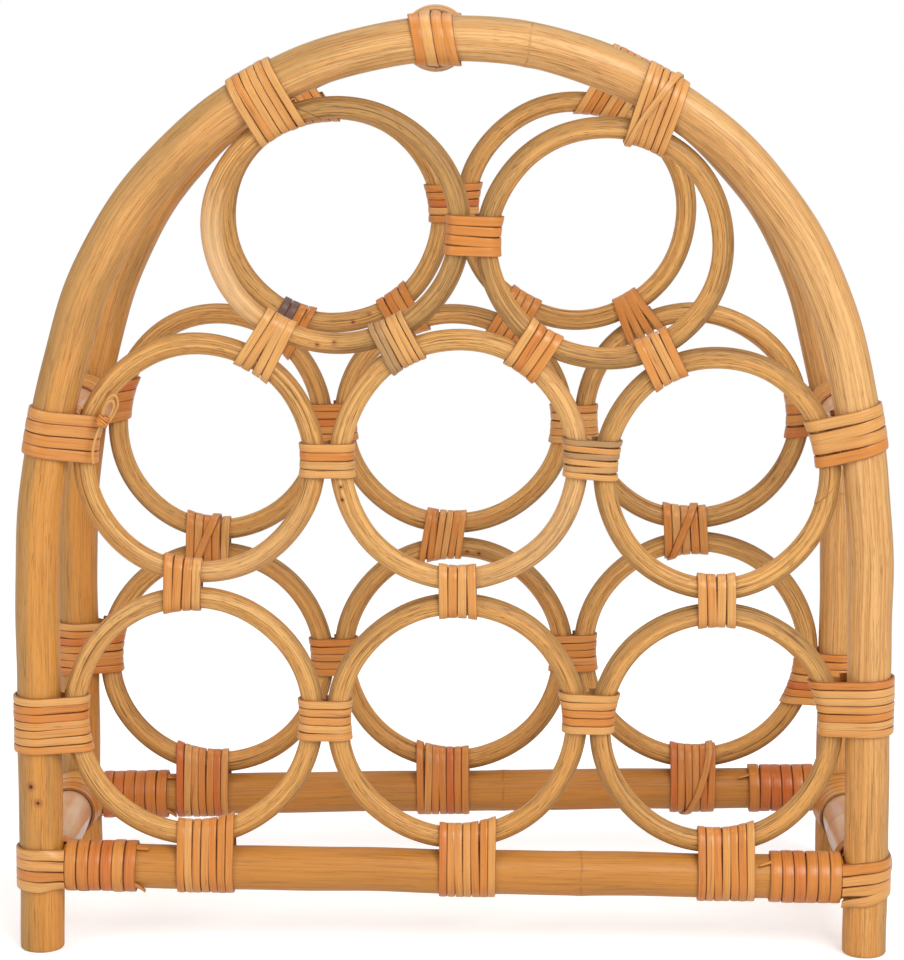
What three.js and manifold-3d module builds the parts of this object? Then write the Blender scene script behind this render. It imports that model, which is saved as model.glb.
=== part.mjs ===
// A wine rack of bent rattan: two arched frames stand one behind the other, joined by five stretchers.
// Each frame is an arch with two legs, a rail between the legs, and bent rings in three rows, that hold
// the bottles. Split cane is wound round the places where two poles meet.
// Millimetres, +Z up, the front faces -Y. The origin is on the floor, under the middle of the rack.
import * as THREE from 'three';
import { mergeVertices } from 'three/addons/utils/BufferGeometryUtils.js';
import Module from 'manifold-3d';

// Poles
const framePole = 20;        // thickness of the arches and the rails
const ringPole = 9.8;        // thickness of the thin pole that the rings are bent from
const stretcherPole = 22;    // thickness of the stretchers
const ringBore = 97;         // clear width of an average ring, for a bottle of 75 to 90 mm

// Places
const frameSpacing = 130;    // from the middle of the front frame to the middle of the rear one
const railHeight = 37;       // floor to the middle of a rail, half way between the legs
const ringGap = 0.8;         // between a ring and the rings or the rail that it stands on
const bottomGap = 1;         // least gap between the bottom rings, and from them to the legs
const archGap = 0.6;         // least gap between a top ring and the arch
const crownShift = 1.5;      // the crown's middle stands this far to the right
const crownInset = 10.8;     // the crown's radius is this much less than half the leg spacing
const sideRadius = 441;      // bend of the arch between the legs and the crown
const topStretcherX = -8;    // the top stretcher's distance to the right of the middle

// Lashings
const stripWidth = 3.4;        // split cane of most lashings
const wideStripWidth = 4.7;    // split cane of the corners, the straps and the middle rings' leg lashings
const stripThickness = 1.1;
const stripGap = 0.5;          // between neighbouring turns
const lashingClearance = 0.5;  // between a lashing and the poles inside it
const strapClearance = 0.3;    // between a strap and the poles that it touches
const buttClearance = 0.5;     // between a pole's cut end and what it meets
const strapStrips = 4;         // strips side by side in a strap
const strapGroove = 0.5;       // depth of the groove between two strips of a strap
const strapLap = 4;            // how far a strap runs on under the turns that hold it
const cornerTurns = 6;         // turns on each end of a rail
const bindingLength = 30;      // wound length at each end of a stretcher
const bindingLayers = 2;       // strips on each other there: the ends of the straps, and the turns over them

// Faces of the solids
const poleSides = 12;
const crownSteps = 22;
const bendSteps = 4;
const ringSides = 8;
const ringSteps = 22;
const windingCorners = 6;      // corners of one turn round one pole
const ringCorners = [3, 3];    // corners of one turn, on each of two rings
const mixedCorners = [2, 4];   // corners of one turn, on a ring and on a thicker pole
const strapCorners = 4;

// How much a ring's bore is wider and taller than ringBore, because the rings are bent by hand
const ringTrims = {
  front: {
    bottom: [[1, 4], [1, 2.5], [-2.5, 0]],
    middle: [[-4, -2], [-1, 3], [-6.5, -1]],
    top: [[3, -1], [-2.5, -3]],
  },
  rear: {
    bottom: [[-1.5, 0.5], [0.5, 2], [3, 3]],
    middle: [[-7, 1], [0.4, -2.5], [-2.5, -4]],
    top: [[-2.5, -2], [-0.5, 0]],
  },
};
const placeNames = {
  bottom: ['left', 'middle', 'right'],
  middle: ['left', 'middle', 'right'],
  top: ['left', 'right'],
};

// Gaps between the rings of a row, and how far the row stands to the right
const rowGaps = {
  front: { middle: [2.4, 2.4], top: [2.4] },
  rear: { middle: [1, 0.8], top: [2.4] },
};
const rowShifts = {
  front: { middle: 1.5, top: 6.5 },
  rear: { middle: 0, top: -1 },
};
// How much lower a rail's right end is than its left one
const railFalls = { front: 4, rear: -6 };
const frameSides = { front: -1, rear: 1 };
const legSides = { left: -1, right: 1 };

// Turns of each kind of lashing
const turns = { leg: 6, middleLeg: 4, crown: 5, rail: 6, stacked: 4, beside: 4, slanted: 3 };

// How far some lashings have slid along their first ring from where the two poles are nearest,
// counterclockwise seen from the front
const slides = {
  front: {
    bottom_left_to_arch: 3,
    bottom_right_to_arch: 10.5,
    middle_right_to_arch: 9,
    top_right_to_arch: 17,
    bottom_left_to_rail: 5,
    bottom_middle_to_rail: 5,
    bottom_right_to_rail: 5,
    bottom_left_to_middle_left: 6,
    bottom_middle_to_bottom_right: 6,
    middle_middle_to_middle_right: 4,
  },
  rear: {
    bottom_left_to_arch: -6,
    bottom_right_to_arch: -13,
    middle_right_to_arch: -7,
    top_left_to_arch: -18,
    top_right_to_arch: 15,
    bottom_middle_to_rail: -5,
    bottom_middle_to_middle_middle: 5,
  },
};

const finishes = {
  arch: { color: 0xd9a15c, roughness: 0.5 },
  rail: { color: 0xc98d4a, roughness: 0.5 },
  ring: { color: 0xc99a5f, roughness: 0.65 },
  stretcher: { color: 0xd8b090, roughness: 0.4 },
  cane: { color: 0xd08a4e, roughness: 0.4 },
};

const right = new THREE.Vector3(1, 0, 0);
const back = new THREE.Vector3(0, 1, 0);
const up = new THREE.Vector3(0, 0, 1);

const wasm = await Module();
wasm.setup();

const rack = new THREE.Group();

function addPiece(name, geometry, finish) {
  const material = new THREE.MeshStandardMaterial({ ...finishes[finish], metalness: 0 });
  const mesh = new THREE.Mesh(geometry, material);
  mesh.name = name;
  rack.add(mesh);
}

// Solids

function signedVolume(positions, faces) {
  const corner = (index) => new THREE.Vector3().fromArray(positions, index * 3);
  let volume = 0;
  for (let i = 0; i < faces.length; i += 3) {
    const [a, b, c] = [corner(faces[i]), corner(faces[i + 1]), corner(faces[i + 2])];
    volume += a.dot(b.cross(c)) / 6;
  }
  return volume;
}

// Triangles that close a flat outline
function capFaces(outline) {
  const origin = outline[0];
  const offsets = outline.map((point) => point.clone().sub(origin));
  const normal = new THREE.Vector3();
  for (let i = 1; i + 1 < offsets.length; i += 1) {
    normal.add(offsets[i].clone().cross(offsets[i + 1]));
  }
  const across = offsets[1].clone().normalize();
  const upward = normal.normalize().cross(across);
  const flat = offsets.map((offset) => new THREE.Vector2(offset.dot(across), offset.dot(upward)));
  return THREE.ShapeUtils.triangulateShape(flat, []);
}

// Joins equal outlines of points into one closed solid
function loft(sections) {
  const count = sections[0].length;
  const last = (sections.length - 1) * count;
  const faces = [];
  for (let i = 0; i < last; i += count) {
    for (let j = 0; j < count; j += 1) {
      const here = i + j;
      const beside = i + ((j + 1) % count);
      faces.push(here, beside, beside + count, here, beside + count, here + count);
    }
  }
  for (const [a, b, c] of capFaces(sections[0])) {
    faces.push(a, c, b, last + a, last + b, last + c);
  }
  const positions = sections.flat().flatMap((point) => point.toArray());
  if (signedVolume(positions, faces) < 0) faces.reverse();
  const geometry = new THREE.BufferGeometry();
  geometry.setAttribute('position', new THREE.Float32BufferAttribute(positions, 3));
  geometry.setIndex(faces);
  return geometry;
}

function bare(geometry) {
  geometry.deleteAttribute('normal');
  geometry.deleteAttribute('uv');
  return mergeVertices(geometry);
}

// Joins two solids that overlap
function unite(first, second) {
  const [one, other] = [first, second].map((geometry) => {
    const vertProperties = new Float32Array(geometry.getAttribute('position').array);
    const triVerts = new Uint32Array(geometry.getIndex().array);
    return new wasm.Manifold(new wasm.Mesh({ numProp: 3, vertProperties, triVerts }));
  });
  const whole = one.add(other).getMesh();
  const geometry = new THREE.BufferGeometry();
  geometry.setAttribute('position', new THREE.BufferAttribute(whole.vertProperties, 3));
  geometry.setIndex(new THREE.BufferAttribute(whole.triVerts, 1));
  return geometry;
}

// Layout of the rings. A ring has its outer half width a, outer half height b, and middle x, z.

function makeRing(frame, tier, place, index) {
  const [wider, taller] = ringTrims[frame][tier][index];
  const a = (ringBore + wider) / 2 + ringPole;
  const b = (ringBore + taller) / 2 + ringPole;
  return { frame, name: `${tier}_${place}`, a, b, x: 0, z: 0 };
}

// Distance from a ring's middle to its outside, towards dx, dz
function reach(ring, dx, dz) {
  return Math.hypot(dx, dz) / Math.hypot(dx / ring.a, dz / ring.b);
}

function rowWidth(rings, gaps) {
  const wide = rings.reduce((sum, ring) => sum + 2 * ring.a, 0);
  return gaps.reduce((sum, gap) => sum + gap, wide);
}

function layRow(rings, middle, gaps) {
  let edge = middle - rowWidth(rings, gaps) / 2;
  for (const [index, ring] of rings.entries()) {
    ring.x = edge + ring.a;
    edge += 2 * ring.a + (gaps[index] ?? 0);
  }
}

// Lowers a ring until it stands on the rings below it
function standOn(ring, below) {
  const heights = below.map((support) => {
    const dx = ring.x - support.x;
    let rise = ring.b + support.b;
    for (let pass = 0; pass < 12; pass += 1) {
      const distance = reach(ring, dx, rise) + reach(support, dx, rise) + ringGap;
      rise = Math.sqrt(Math.max(distance ** 2 - dx ** 2, 0));
    }
    return support.z + rise;
  });
  ring.z = Math.max(...heights);
}

const rows = {};
for (const frame of Object.keys(frameSides)) {
  rows[frame] = {};
  for (const [tier, places] of Object.entries(placeNames)) {
    rows[frame][tier] = places.map((place, index) => makeRing(frame, tier, place, index));
  }
}

// The legs stand just outside the wider bottom row
const bottomWidths = Object.values(rows).map(({ bottom }) => rowWidth(bottom, []));
const bottomSpaces = placeNames.bottom.length + 1;
const innerHalf = (Math.max(...bottomWidths) + bottomSpaces * bottomGap) / 2;
const legX = innerHalf + framePole / 2;

function frameY(frame) {
  return (frameSides[frame] * frameSpacing) / 2;
}

function railPoint(frame, x) {
  return new THREE.Vector3(x, frameY(frame), railHeight - (railFalls[frame] * x) / (2 * legX));
}

for (const [frame, { bottom, middle, top }] of Object.entries(rows)) {
  const spare = (2 * innerHalf - rowWidth(bottom, [])) / bottomSpaces;
  layRow(bottom, 0, [spare, spare]);
  for (const ring of bottom) ring.z = railPoint(frame, ring.x).z + framePole / 2 + ringGap + ring.b;
  layRow(middle, rowShifts[frame].middle, rowGaps[frame].middle);
  for (const ring of middle) standOn(ring, bottom);
  layRow(top, rowShifts[frame].top, rowGaps[frame].top);
  for (const ring of top) standOn(ring, middle);
}

// An arch: straight legs, two side bends and a round crown that clears the top rings of its frame

const crownRadius = legX - crownInset;

// Height of the crown's middle that leaves a ring its gap to the arch
function crownHeightOver(ring) {
  const dx = ring.x - crownShift;
  let rise = ring.b;
  for (let pass = 0; pass < 12; pass += 1) {
    const room = crownRadius - framePole / 2 - archGap - reach(ring, dx, rise);
    rise = Math.sqrt(Math.max(room ** 2 - dx ** 2, 0));
  }
  return ring.z - rise;
}

function sideBend(crown, side) {
  const x = side * (legX - sideRadius);
  const drop = Math.sqrt((sideRadius - crown.radius) ** 2 - (x - crown.x) ** 2);
  return { x, z: crown.z - drop, radius: sideRadius };
}

function makeArch(frame) {
  const z = Math.max(...rows[frame].top.map(crownHeightOver));
  const crown = { x: crownShift, z, radius: crownRadius };
  return { crown, left: sideBend(crown, legSides.left), right: sideBend(crown, legSides.right) };
}

const arches = { front: makeArch('front'), rear: makeArch('rear') };

// Angle at which a side bend runs into the crown, seen from either middle
function joinAngle(crown, bend) {
  return Math.atan2(crown.z - bend.z, crown.x - bend.x);
}

function crownPoint(frame, x) {
  const { crown } = arches[frame];
  return new THREE.Vector3(x, frameY(frame), crown.z + Math.sqrt(crown.radius ** 2 - (x - crown.x) ** 2));
}

// Points and directions along an arc. Its corners lie outside the true bend by as much as the middles
// of its flats lie inside.
function arcStations(middle, from, to, steps) {
  const half = (to - from) / steps / 2;
  const radius = (middle.radius * 2) / (1 + Math.cos(half));
  return Array.from({ length: steps }, (unused, index) => {
    const angle = from + half * (2 * index + 1);
    return { x: middle.x + radius * Math.cos(angle), z: middle.z + radius * Math.sin(angle), angle };
  });
}

function archGeometry(frame) {
  const { crown, left, right: rightBend } = arches[frame];
  const [leftJoin, rightJoin] = [joinAngle(crown, left), joinAngle(crown, rightBend)];
  const stations = [
    { x: -legX, z: 0, angle: Math.PI },
    ...arcStations(left, Math.PI, leftJoin, bendSteps),
    ...arcStations(crown, leftJoin, rightJoin, crownSteps),
    ...arcStations(rightBend, rightJoin, 0, bendSteps),
    { x: legX, z: 0, angle: 0 },
  ];
  const y = frameY(frame);
  return loft(stations.map(({ x, z, angle }) => {
    const outward = new THREE.Vector3(Math.cos(angle), 0, Math.sin(angle));
    return circlePoints(new THREE.Vector3(x, y, z), outward, back, framePole / 2);
  }));
}

function circlePoints(middle, one, other, radius) {
  return Array.from({ length: poleSides }, (unused, index) => {
    const angle = (2 * Math.PI * index) / poleSides;
    return middle.clone()
      .addScaledVector(one, radius * Math.cos(angle))
      .addScaledVector(other, radius * Math.sin(angle));
  });
}

function railGeometry(frame) {
  const end = innerHalf - buttClearance;
  const path = new THREE.LineCurve3(railPoint(frame, -end), railPoint(frame, end));
  const outline = new THREE.Shape().absarc(0, 0, framePole / 2, 0, 2 * Math.PI);
  const section = new THREE.Shape(outline.getSpacedPoints(poleSides).slice(1));
  return bare(new THREE.ExtrudeGeometry(section, { extrudePath: path, steps: 1 }));
}

function ringGeometry(ring) {
  const tube = ringPole / 2;
  const outer = (ring.a + ring.b) / 2;
  const radius = ((outer - tube) * 2) / (1 + Math.cos(Math.PI / ringSteps));
  const torus = new THREE.TorusGeometry(radius, tube, ringSides, ringSteps);
  torus.scale(ring.a / outer, ring.b / outer, 1);
  torus.rotateX(Math.PI / 2);
  torus.translate(ring.x, frameY(ring.frame), ring.z);
  return bare(torus);
}

// A stretcher from its front end to its rear one, with a wound band at each end
function stretcherGeometry(start, end) {
  const skin = stretcherPole / 2;
  const bound = skin + bindingLayers * stripThickness;
  const half = start.distanceTo(end) / 2;
  const profile = [
    [0, -half],
    [bound, -half],
    [bound, bindingLength - half],
    [skin, bindingLength - half],
    [skin, half - bindingLength],
    [bound, half - bindingLength],
    [bound, half],
    [0, half],
  ];
  const lathe = new THREE.LatheGeometry(profile.map(([out, y]) => new THREE.Vector2(out, y)), poleSides);
  lathe.rotateX(Math.atan2(end.z - start.z, end.y - start.y));
  lathe.translate(start.x, (start.y + end.y) / 2, (start.z + end.z) / 2);
  return bare(lathe);
}

// Lashings. A joint has a middle, the direction along its poles and the direction across, from the
// first pole to the second. The edges of a pole are where a line across, at distance s along, cuts it.

function crossing(square, halfLinear, constant, sign) {
  return (-halfLinear + sign * Math.sqrt(halfLinear ** 2 - square * constant)) / square;
}

function ovalEdges(oval, thickness, sign) {
  return (joint, s) => [0, thickness].map((inset) => {
    const a = oval.a - inset;
    const b = oval.b - inset;
    const px = (joint.middle.x + joint.along.x * s - oval.x) / a;
    const pz = (joint.middle.z + joint.along.z * s - oval.z) / b;
    const ux = joint.across.x / a;
    const uz = joint.across.z / b;
    return crossing(ux * ux + uz * uz, px * ux + pz * uz, px * px + pz * pz - 1, sign);
  });
}

function bendEdges(bend) {
  const outer = bend.radius + framePole / 2;
  return ovalEdges({ a: outer, b: outer, x: bend.x, z: bend.z }, framePole, 1);
}

function straightEdges(point, direction) {
  const normal = new THREE.Vector3().crossVectors(direction, back).normalize();
  return (joint, s) => {
    const start = joint.middle.clone().addScaledVector(joint.along, s);
    const distance = normal.dot(point.clone().sub(start));
    const rate = normal.dot(joint.across);
    return [-framePole / 2, framePole / 2].map((offset) => (distance + offset) / rate);
  };
}

// A corner of the outline round both poles, on flats that clear them
function outlineCorner(joint, s, k, thickness) {
  const poles = joint.edges.map((edges) => {
    const [one, other] = edges(joint, s);
    return { middle: (one + other) / 2, radius: Math.abs(one - other) / 2 };
  });
  const [first, second] = poles;
  const taper = Math.asin((first.radius - second.radius) / (second.middle - first.middle));
  const onSecond = k < joint.corners[1];
  const pole = onSecond ? second : first;
  const count = onSecond ? joint.corners[1] : joint.corners[0];
  const start = onSecond ? taper - Math.PI / 2 : Math.PI / 2 - taper;
  const spread = (onSecond ? Math.PI - 2 * taper : Math.PI + 2 * taper) / count;
  const angle = start + spread * ((onSecond ? k : k - joint.corners[1]) + 0.5);
  const radius = (pole.radius + lashingClearance + thickness) / Math.cos(spread / 2);
  return joint.middle.clone()
    .addScaledVector(joint.along, s)
    .addScaledVector(joint.across, pole.middle + radius * Math.cos(angle))
    .addScaledVector(back, radius * Math.sin(angle));
}

// The least gap between neighbouring turns, on points along their edges
let leastGap = Infinity;

function measureGap(sections, perTurn) {
  const parts = 4;
  const pointOn = (index, corner, part) =>
    sections[index][corner].clone().lerp(sections[index + 1][corner], part / parts);
  for (let i = 0; i + perTurn + 1 < sections.length; i += 1) {
    for (const [upper, lower] of [[1, 0], [2, 3]]) {
      for (let part = 0; part < parts; part += 1) {
        for (let other = 0; other <= parts; other += 1) {
          const gap = pointOn(i, upper, part).distanceTo(pointOn(i + perTurn, lower, other));
          leastGap = Math.min(leastGap, gap);
        }
      }
    }
  }
}

// One strip of cane in turns. cornerAt gives a corner of the turn at distance s, corner k, thickness.
function windStrip(cornerAt, count, perTurn, width) {
  const pitch = width + stripGap;
  const sections = [];
  for (let step = 0; step <= count * perTurn; step += 1) {
    const s = (step / perTurn - count / 2) * pitch;
    const k = step % perTurn;
    sections.push([
      cornerAt(s - width / 2, k, 0),
      cornerAt(s + width / 2, k, 0),
      cornerAt(s + width / 2, k, stripThickness),
      cornerAt(s - width / 2, k, stripThickness),
    ]);
  }
  measureGap(sections, perTurn);
  return sections;
}

// Winds a lashing round a joint, and gives how far it stands out from the frame's plane
function lash(joint, width = stripWidth) {
  const perTurn = joint.corners[0] + joint.corners[1];
  const cornerAt = (s, k, thickness) => outlineCorner(joint, s, k, thickness);
  const sections = windStrip(cornerAt, joint.turns, perTurn, width);
  addPiece(`${joint.frame}_lashing_${joint.name}`, loft(sections), 'cane');
  return Math.max(...sections.flat().map((point) => Math.abs(point.y - joint.middle.y)));
}

function makeJoint(ring, across, details) {
  const along = new THREE.Vector3(-across.z, 0, across.x);
  const slide = slides[ring.frame][details.name] ?? 0;
  const edge = reach(ring, across.x, across.z);
  const middle = new THREE.Vector3(ring.x, frameY(ring.frame), ring.z)
    .addScaledVector(across, edge)
    .addScaledVector(along, slide);
  return { frame: ring.frame, middle, along, across, ...details };
}

function ringJoint(first, second, count) {
  const across = new THREE.Vector3(second.x - first.x, 0, second.z - first.z).normalize();
  return makeJoint(first, across, {
    name: `${first.name}_to_${second.name}`,
    edges: [ovalEdges(first, ringPole, 1), ovalEdges(second, ringPole, -1)],
    corners: ringCorners,
    turns: count,
  });
}

function railJoint(ring) {
  const direction = railPoint(ring.frame, legX).sub(railPoint(ring.frame, -legX)).normalize();
  return makeJoint(ring, up.clone().negate(), {
    name: `${ring.name}_to_rail`,
    edges: [ovalEdges(ring, ringPole, 1), straightEdges(railPoint(ring.frame, 0), direction)],
    corners: mixedCorners,
    turns: turns.rail,
  });
}

// A ring and the arch, where the arch is nearest: on a leg, on a side bend or on the crown
function archJoint(ring, leg, count) {
  const side = legSides[leg];
  const { crown, [leg]: bend } = arches[ring.frame];
  const details = { name: `${ring.name}_to_arch`, corners: mixedCorners, turns: count };
  if (ring.z < bend.z) {
    const edges = [ovalEdges(ring, ringPole, 1), straightEdges(new THREE.Vector3(side * legX, 0, 0), up)];
    return makeJoint(ring, right.clone().multiplyScalar(side), { ...details, edges });
  }
  const bendRise = Math.atan2(ring.z - bend.z, side * (ring.x - bend.x));
  const joinRise = Math.atan2(crown.z - bend.z, side * (crown.x - bend.x));
  const nearest = bendRise < joinRise ? bend : crown;
  const across = new THREE.Vector3(ring.x - nearest.x, 0, ring.z - nearest.z).normalize();
  const edges = [ovalEdges(ring, ringPole, 1), bendEdges(nearest)];
  return makeJoint(ring, across, { ...details, edges });
}

// A strap runs round the outside of one pole, at middle, and on along both sides of another.
// outward points away from the held pole, beside to its sides, and along runs with the first pole.
function strapSections(middle, outward, beside, along, tail, bow) {
  const half = framePole / 2 + strapClearance;
  const spread = Math.PI / strapCorners;
  const radius = half / Math.cos(spread / 2);
  const bent = Array.from({ length: strapCorners }, (unused, k) => {
    const angle = Math.PI / 2 - spread * (k + 0.5);
    return { ahead: radius * Math.cos(angle), aside: radius * Math.sin(angle) };
  });
  const stations = [{ ahead: -tail, aside: half }, ...bent, { ahead: -tail, aside: -half }];
  const profile = strapProfile();
  return stations.map(({ ahead, aside }, index) => profile.map(([run, out]) => {
    const grown = (half + out) / half;
    const onBend = index > 0 && index <= strapCorners;
    return middle.clone()
      .addScaledVector(outward, onBend ? ahead * grown : ahead)
      .addScaledVector(beside, aside * grown + bow(run))
      .addScaledVector(along, run);
  }));
}

// A strap's cross-section: flat inside, and outside its strips with a groove between neighbours
function strapProfile() {
  const pitch = wideStripWidth + stripGap;
  const half = (strapStrips * pitch) / 2;
  const profile = [[half, 0], [0, 0], [-half, 0]];
  for (let i = 0; i < strapStrips; i += 1) {
    const edge = i * pitch - half;
    if (i > 0) profile.push([edge, stripThickness - strapGroove]);
    profile.push([edge + stripGap / 2, stripThickness]);
    profile.push([edge + pitch - stripGap / 2, stripThickness]);
  }
  return profile;
}

// The cane of a corner runs round the leg as a strap and in turns round the end of the rail
function cornerLashing(frame, leg) {
  const side = legSides[leg];
  const end = railPoint(frame, side * (innerHalf - buttClearance));
  const run = railPoint(frame, -side * innerHalf).sub(end).normalize();
  const above = new THREE.Vector3().crossVectors(run, back).normalize();
  const wound = cornerTurns * (wideStripWidth + stripGap) + wideStripWidth;
  const middle = end.clone().addScaledVector(run, wound / 2);
  const spread = (2 * Math.PI) / windingCorners;
  const cornerAt = (s, k, thickness) => {
    const out = (framePole / 2 + lashingClearance + thickness) / Math.cos(spread / 2);
    return middle.clone()
      .addScaledVector(run, s)
      .addScaledVector(back, out * Math.cos(spread * (k + 0.5)))
      .addScaledVector(above, out * Math.sin(spread * (k + 0.5)));
  };
  const turned = loft(windStrip(cornerAt, cornerTurns, windingCorners, wideStripWidth));
  const tail = framePole / 2 + buttClearance + strapLap;
  const legMiddle = new THREE.Vector3(side * legX, end.y, end.z);
  const outward = right.clone().multiplyScalar(side);
  const strap = loft(strapSections(legMiddle, outward, back, up, tail, () => 0));
  addPiece(`${frame}_lashing_corner_${leg}`, unite(turned, strap), 'cane');
}

// A strap round the crown, where the top stretcher meets it
function crownLashing(frame) {
  const middle = crownPoint(frame, topStretcherX);
  const outward = back.clone().multiplyScalar(frameSides[frame]);
  const bow = (run) => crownPoint(frame, topStretcherX + run).z - middle.z;
  const strap = loft(strapSections(middle, outward, up, right, framePole / 2, bow));
  addPiece(`${frame}_lashing_crown`, strap, 'cane');
}

// The rack

function byPlace(frame) {
  const [bottomLeft, bottomMiddle, bottomRight] = rows[frame].bottom;
  const [middleLeft, middleMiddle, middleRight] = rows[frame].middle;
  const [topLeft, topRight] = rows[frame].top;
  return {
    bottomLeft, bottomMiddle, bottomRight, middleLeft, middleMiddle, middleRight, topLeft, topRight,
  };
}

for (const frame of Object.keys(frameSides)) {
  addPiece(`${frame}_arch`, archGeometry(frame), 'arch');
  addPiece(`${frame}_rail`, railGeometry(frame), 'rail');
  for (const ring of Object.values(rows[frame]).flat()) {
    addPiece(`${frame}_ring_${ring.name}`, ringGeometry(ring), 'ring');
  }
}

// Lashings of both frames, then those between rings, which are modelled on the front frame
const middleLashings = { left: 0, right: 0 };
for (const frame of Object.keys(frameSides)) {
  const ring = byPlace(frame);
  for (const [leg, middleRing] of Object.entries({ left: ring.middleLeft, right: ring.middleRight })) {
    const standOff = lash(archJoint(middleRing, leg, turns.middleLeg), wideStripWidth);
    middleLashings[leg] = Math.max(middleLashings[leg], standOff);
  }
  lash(archJoint(ring.bottomLeft, 'left', turns.leg));
  lash(archJoint(ring.bottomRight, 'right', turns.leg));
  lash(archJoint(ring.topLeft, 'left', turns.crown));
  lash(archJoint(ring.topRight, 'right', turns.crown));
  lash(railJoint(ring.bottomMiddle));
  lash(ringJoint(ring.bottomMiddle, ring.middleMiddle, turns.stacked));
  cornerLashing(frame, 'left');
  cornerLashing(frame, 'right');
  crownLashing(frame);
}

const front = byPlace('front');
lash(railJoint(front.bottomLeft));
lash(railJoint(front.bottomRight));
lash(ringJoint(front.bottomLeft, front.middleLeft, turns.stacked));
lash(ringJoint(front.bottomRight, front.middleRight, turns.stacked));
lash(ringJoint(front.bottomLeft, front.bottomMiddle, turns.beside));
lash(ringJoint(front.bottomMiddle, front.bottomRight, turns.beside));
lash(ringJoint(front.middleLeft, front.middleMiddle, turns.beside));
lash(ringJoint(front.middleMiddle, front.middleRight, turns.beside));
lash(ringJoint(front.topLeft, front.topRight, turns.beside));
lash(ringJoint(front.middleLeft, front.topLeft, turns.slanted));
lash(ringJoint(front.middleMiddle, front.topLeft, turns.slanted));
lash(ringJoint(front.middleMiddle, front.topRight, turns.slanted));
lash(ringJoint(front.middleRight, front.topRight, turns.slanted));

// Stretchers: at the rails, at the middle rings and under the crown

function addStretcher(name, x, frontZ, rearZ, standOff) {
  const half = frameSpacing / 2 - standOff;
  const geometry = stretcherGeometry(new THREE.Vector3(x, -half, frontZ), new THREE.Vector3(x, half, rearZ));
  addPiece(`stretcher_${name}`, geometry, 'stretcher');
}

const strapOutside = framePole / 2 + strapClearance + stripThickness;
for (const [leg, side] of Object.entries(legSides)) {
  addStretcher(`bottom_${leg}`, side * legX, railHeight, railHeight, strapOutside + strapClearance);
  const ends = Object.keys(rows).map((frame) => {
    const bend = arches[frame][leg];
    const { z } = archJoint(rows[frame].middle[leg === 'left' ? 0 : 2], leg, turns.middleLeg).middle;
    return { x: bend.x + side * Math.sqrt(bend.radius ** 2 - (z - bend.z) ** 2), z };
  });
  const x = (ends[0].x + ends[1].x) / 2;
  const z = (ends[0].z + ends[1].z) / 2;
  addStretcher(`middle_${leg}`, x, z, z, middleLashings[leg] + strapClearance);
}
const [frontCrown, rearCrown] = Object.keys(frameSides).map((frame) => crownPoint(frame, topStretcherX));
addStretcher('top', topStretcherX, frontCrown.z, rearCrown.z, framePole / 2 + buttClearance);

console.log(`least gap between neighbouring turns of cane: ${leastGap.toFixed(2)} mm`);

export default rack;
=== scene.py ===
"""A rattan wine rack for eight bottles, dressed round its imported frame.

Poles are modelled as straight stock, as a rattan worker has them, and then bent along their routes.
Split cane is modelled as a straight strip and then wound round the joints. Every place and size comes from
the frame or from a field of the class that makes the piece. Metres, +Z up, the front faces -Y.
"""
from __future__ import annotations

import logging
import math
import random
from dataclasses import dataclass, field, replace
from enum import Enum
from typing import Callable, Protocol, Sequence, Union

import bmesh
import bpy
import numpy as np
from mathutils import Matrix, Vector

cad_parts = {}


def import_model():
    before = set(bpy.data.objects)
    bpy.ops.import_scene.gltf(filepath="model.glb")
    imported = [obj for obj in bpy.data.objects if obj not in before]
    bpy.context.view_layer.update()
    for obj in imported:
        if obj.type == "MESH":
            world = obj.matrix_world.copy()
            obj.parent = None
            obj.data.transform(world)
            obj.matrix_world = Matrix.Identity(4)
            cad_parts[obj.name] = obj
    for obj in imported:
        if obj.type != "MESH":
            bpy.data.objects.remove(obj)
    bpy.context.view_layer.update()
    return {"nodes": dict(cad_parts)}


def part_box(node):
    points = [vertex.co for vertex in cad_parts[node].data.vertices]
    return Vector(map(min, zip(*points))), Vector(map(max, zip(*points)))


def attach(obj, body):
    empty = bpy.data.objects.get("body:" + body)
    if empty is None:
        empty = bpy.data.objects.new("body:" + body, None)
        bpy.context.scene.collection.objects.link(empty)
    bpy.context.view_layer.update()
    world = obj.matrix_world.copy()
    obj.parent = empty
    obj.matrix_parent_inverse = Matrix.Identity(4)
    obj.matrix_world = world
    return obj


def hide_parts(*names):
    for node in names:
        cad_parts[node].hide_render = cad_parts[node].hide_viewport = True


log = logging.getLogger("wine_rack")

Colour = tuple[float, float, float]
Point = tuple[float, float, float]
Place = Callable[[float, float, float], Vector]

RIGHT = Vector((1, 0, 0))
BACK = Vector((0, 1, 0))
UP = Vector((0, 0, 1))

WHITE = (1.0, 1.0, 1.0)

BODY = "root"
PHOTO_HEIGHT = 960
# Two coordinates that differ by less than this are the same
SAME = 1e-7
# The farthest that a piece's pattern is moved along its stock, so that no two pieces look alike
FARTHEST = 9


class Side(Enum):
    """The side of the rack, seen from the front."""

    LEFT = -1
    RIGHT = 1


class Layer(Enum):
    """One of the two arched frames."""

    FRONT = -1
    REAR = 1


class Stock(Enum):
    """The kinds of rattan, named as the record names their material slots."""

    ARCH = "arch_pole"
    RAIL = "rail_pole"
    RING = "ring_pole"
    STRETCHER = "stretcher_pole"
    CANE = "cane"


# Arithmetic


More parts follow.
